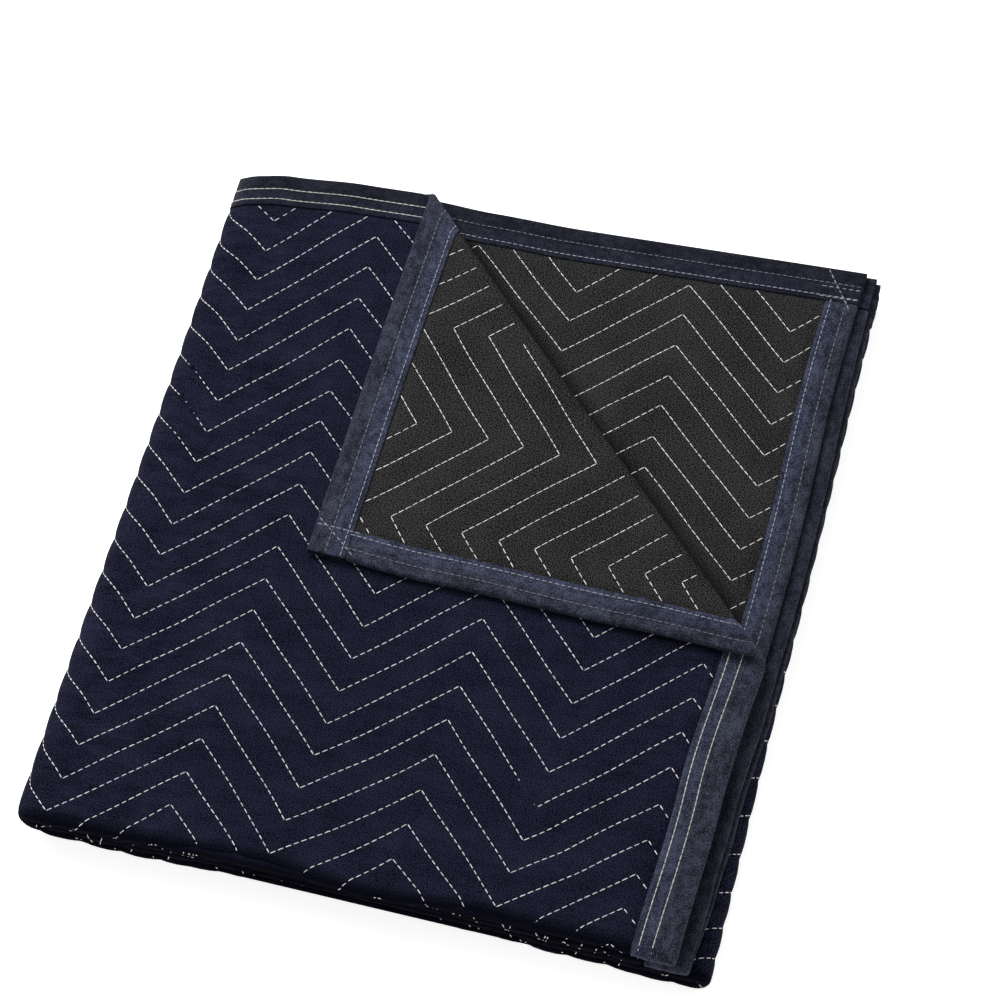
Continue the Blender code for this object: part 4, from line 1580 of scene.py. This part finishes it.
class BLANKET_OT_stitches(bpy.types.Operator):
    """Sew the quilting and the bindings"""

    bl_idname = "blanket.stitches"
    bl_label = "Stitches"

    def execute(self, context):
        cloth = context.scene.blanket_cloth
        sizes = context.scene.blanket_stitch
        thread, tape = sizes.thread_width, sizes.tape_width
        long_stitch = stitch_shape(sizes.quilt_length, thread, 0.7 * thread)
        back_stitch = stitch_shape(sizes.back_length, thread, 0.7 * thread)
        tape_stitch = stitch_shape(sizes.tape_length, tape, 0.6 * tape)
        cream_stitch = stitch_shape(sizes.cream_length, tape, 0.6 * tape)
        white = thread_material("white thread", tuple(sizes.white))
        pieces = [
            sew(
                "quilting_navy_side",
                quilting_stitches(1, cloth, sizes.quilt_pitch),
                sizes.quilt_pitch,
                long_stitch,
                white,
                3,
            ),
            sew(
                "quilting_black_side",
                quilting_stitches(-1, cloth, sizes.quilt_pitch),
                sizes.quilt_pitch,
                back_stitch,
                white,
                5,
            ),
        ]
        for number, name in enumerate(("cream", "pale", "dark")):
            thread = thread_material(f"{name} thread", tuple(getattr(sizes, name)))
            lines = tape_lines(name)
            shape = cream_stitch if name == "cream" else tape_stitch
            pieces.append(sew(f"seams_{name}", lines, sizes.tape_pitch, shape, thread, number))
        for shape in (long_stitch, back_stitch, tape_stitch, cream_stitch):
            bpy.data.objects.remove(shape)
        bindings = [bpy.data.objects[strip.name] for strip in STRIPS]
        for face, trims in (("navy", bindings + pieces), ("black", pieces[1:2])):
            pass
        return {"FINISHED"}


class BLANKET_OT_stage(bpy.types.Operator):
    """Set up the floor, the lights and the camera"""

    bl_idname = "blanket.stage"
    bl_label = "Stage"

    def execute(self, context):
        sizes = context.scene.blanket_stage
        scene = context.scene
        mesh = bpy.data.meshes.new("floor")
        reach = 6.0
        corners = [(-reach, -reach), (reach, -reach), (reach, reach), (-reach, reach)]
        mesh.from_pydata([(x, y, 0.0) for x, y in corners], [], [(0, 1, 2, 3)])
        material = bpy.data.materials.new("floor")
        material.use_nodes = True
        shader = material.node_tree.nodes["Principled BSDF"]
        shader.inputs["Base Color"].default_value = rgb([sizes.floor_grey] * 3)
        shader.inputs["Roughness"].default_value = 0.9
        shader.inputs["Emission Color"].default_value = (1.0, 1.0, 1.0, 1.0)
        shader.inputs["Emission Strength"].default_value = sizes.floor_glow
        mesh.materials.append(material)
        floor = bpy.data.objects.new("floor", mesh)
        scene.collection.objects.link(floor)
        floor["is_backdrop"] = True

        camera_data = bpy.data.cameras.new("camera")
        camera_data.lens = sizes.focal
        camera_data.sensor_width = 36.0
        camera_data.clip_end = 20.0
        camera = bpy.data.objects.new("camera", camera_data)
        right = Vector((0.96481, 0.24875, -0.08519))
        up = Vector((-0.16919, 0.83535, 0.52303))
        back = Vector((0.20127, -0.49021, 0.84805))
        turn = Matrix((right, up, back)).transposed()
        place = Matrix.Translation((0.52605, -1.19656, 2.17046))
        camera.matrix_world = place @ turn.to_4x4()
        scene.collection.objects.link(camera)
        scene.camera = camera

        light_data = bpy.data.lights.new("key", "AREA")
        light_data.shape = "RECTANGLE"
        light_data.size = 1.8
        light_data.size_y = 1.2
        light_data.energy = sizes.key_power
        light = bpy.data.objects.new("key", light_data)
        spot = Vector((-0.9, 0.9, 1.9))
        light.location = spot
        light.rotation_euler = (-spot).to_track_quat("-Z", "Y").to_euler()
        scene.collection.objects.link(light)

        world = bpy.data.worlds.new("studio")
        world.use_nodes = True
        background = world.node_tree.nodes["Background"]
        background.inputs["Color"].default_value = (1.0, 1.0, 1.0, 1.0)
        background.inputs["Strength"].default_value = sizes.fill
        scene.world = world
        scene.view_settings.view_transform = "Standard"
        return {"FINISHED"}


class BLANKET_PT_sidebar(bpy.types.Panel):
    bl_label = "Folded blanket"
    bl_idname = "BLANKET_PT_sidebar"
    bl_space_type = "VIEW_3D"
    bl_region_type = "UI"
    bl_category = "Blanket"

    def draw(self, context):
        layout = self.layout
        for operator, group in STEPS:
            layout.operator(operator)
            sizes = getattr(context.scene, group)
            box = layout.box()
            for name in type(sizes).__annotations__:
                box.prop(sizes, name)


STEPS = (
    ("blanket.panels", "blanket_cloth"),
    ("blanket.bindings", "blanket_binding"),
    ("blanket.stage", "blanket_stage"),
    ("blanket.stitches", "blanket_stitch"),
)

GROUPS = {
    "blanket_cloth": ClothSizes,
    "blanket_binding": BindingSizes,
    "blanket_stitch": StitchSizes,
    "blanket_stage": StageSizes,
}

CLASSES = (
    *GROUPS.values(),
    BLANKET_OT_panels,
    BLANKET_OT_bindings,
    BLANKET_OT_stitches,
    BLANKET_OT_stage,
    BLANKET_PT_sidebar,
)


def register():
    for kind in CLASSES:
        bpy.utils.register_class(kind)
    for name, group in GROUPS.items():
        setattr(bpy.types.Scene, name, bpy.props.PointerProperty(type=group))


def unregister():
    for name in GROUPS:
        delattr(bpy.types.Scene, name)
    for kind in reversed(CLASSES):
        bpy.utils.unregister_class(kind)


def main():
    register()
    bpy.ops.blanket.panels()
    bpy.ops.blanket.bindings()
    bpy.ops.blanket.stage()
    bpy.ops.blanket.stitches()
    boxes = {"cad": SOLID_BOX, "visual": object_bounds()}
    boxes = {name: [list(corner) for corner in box] for name, box in boxes.items()}


if __name__ == "__main__":
    main()
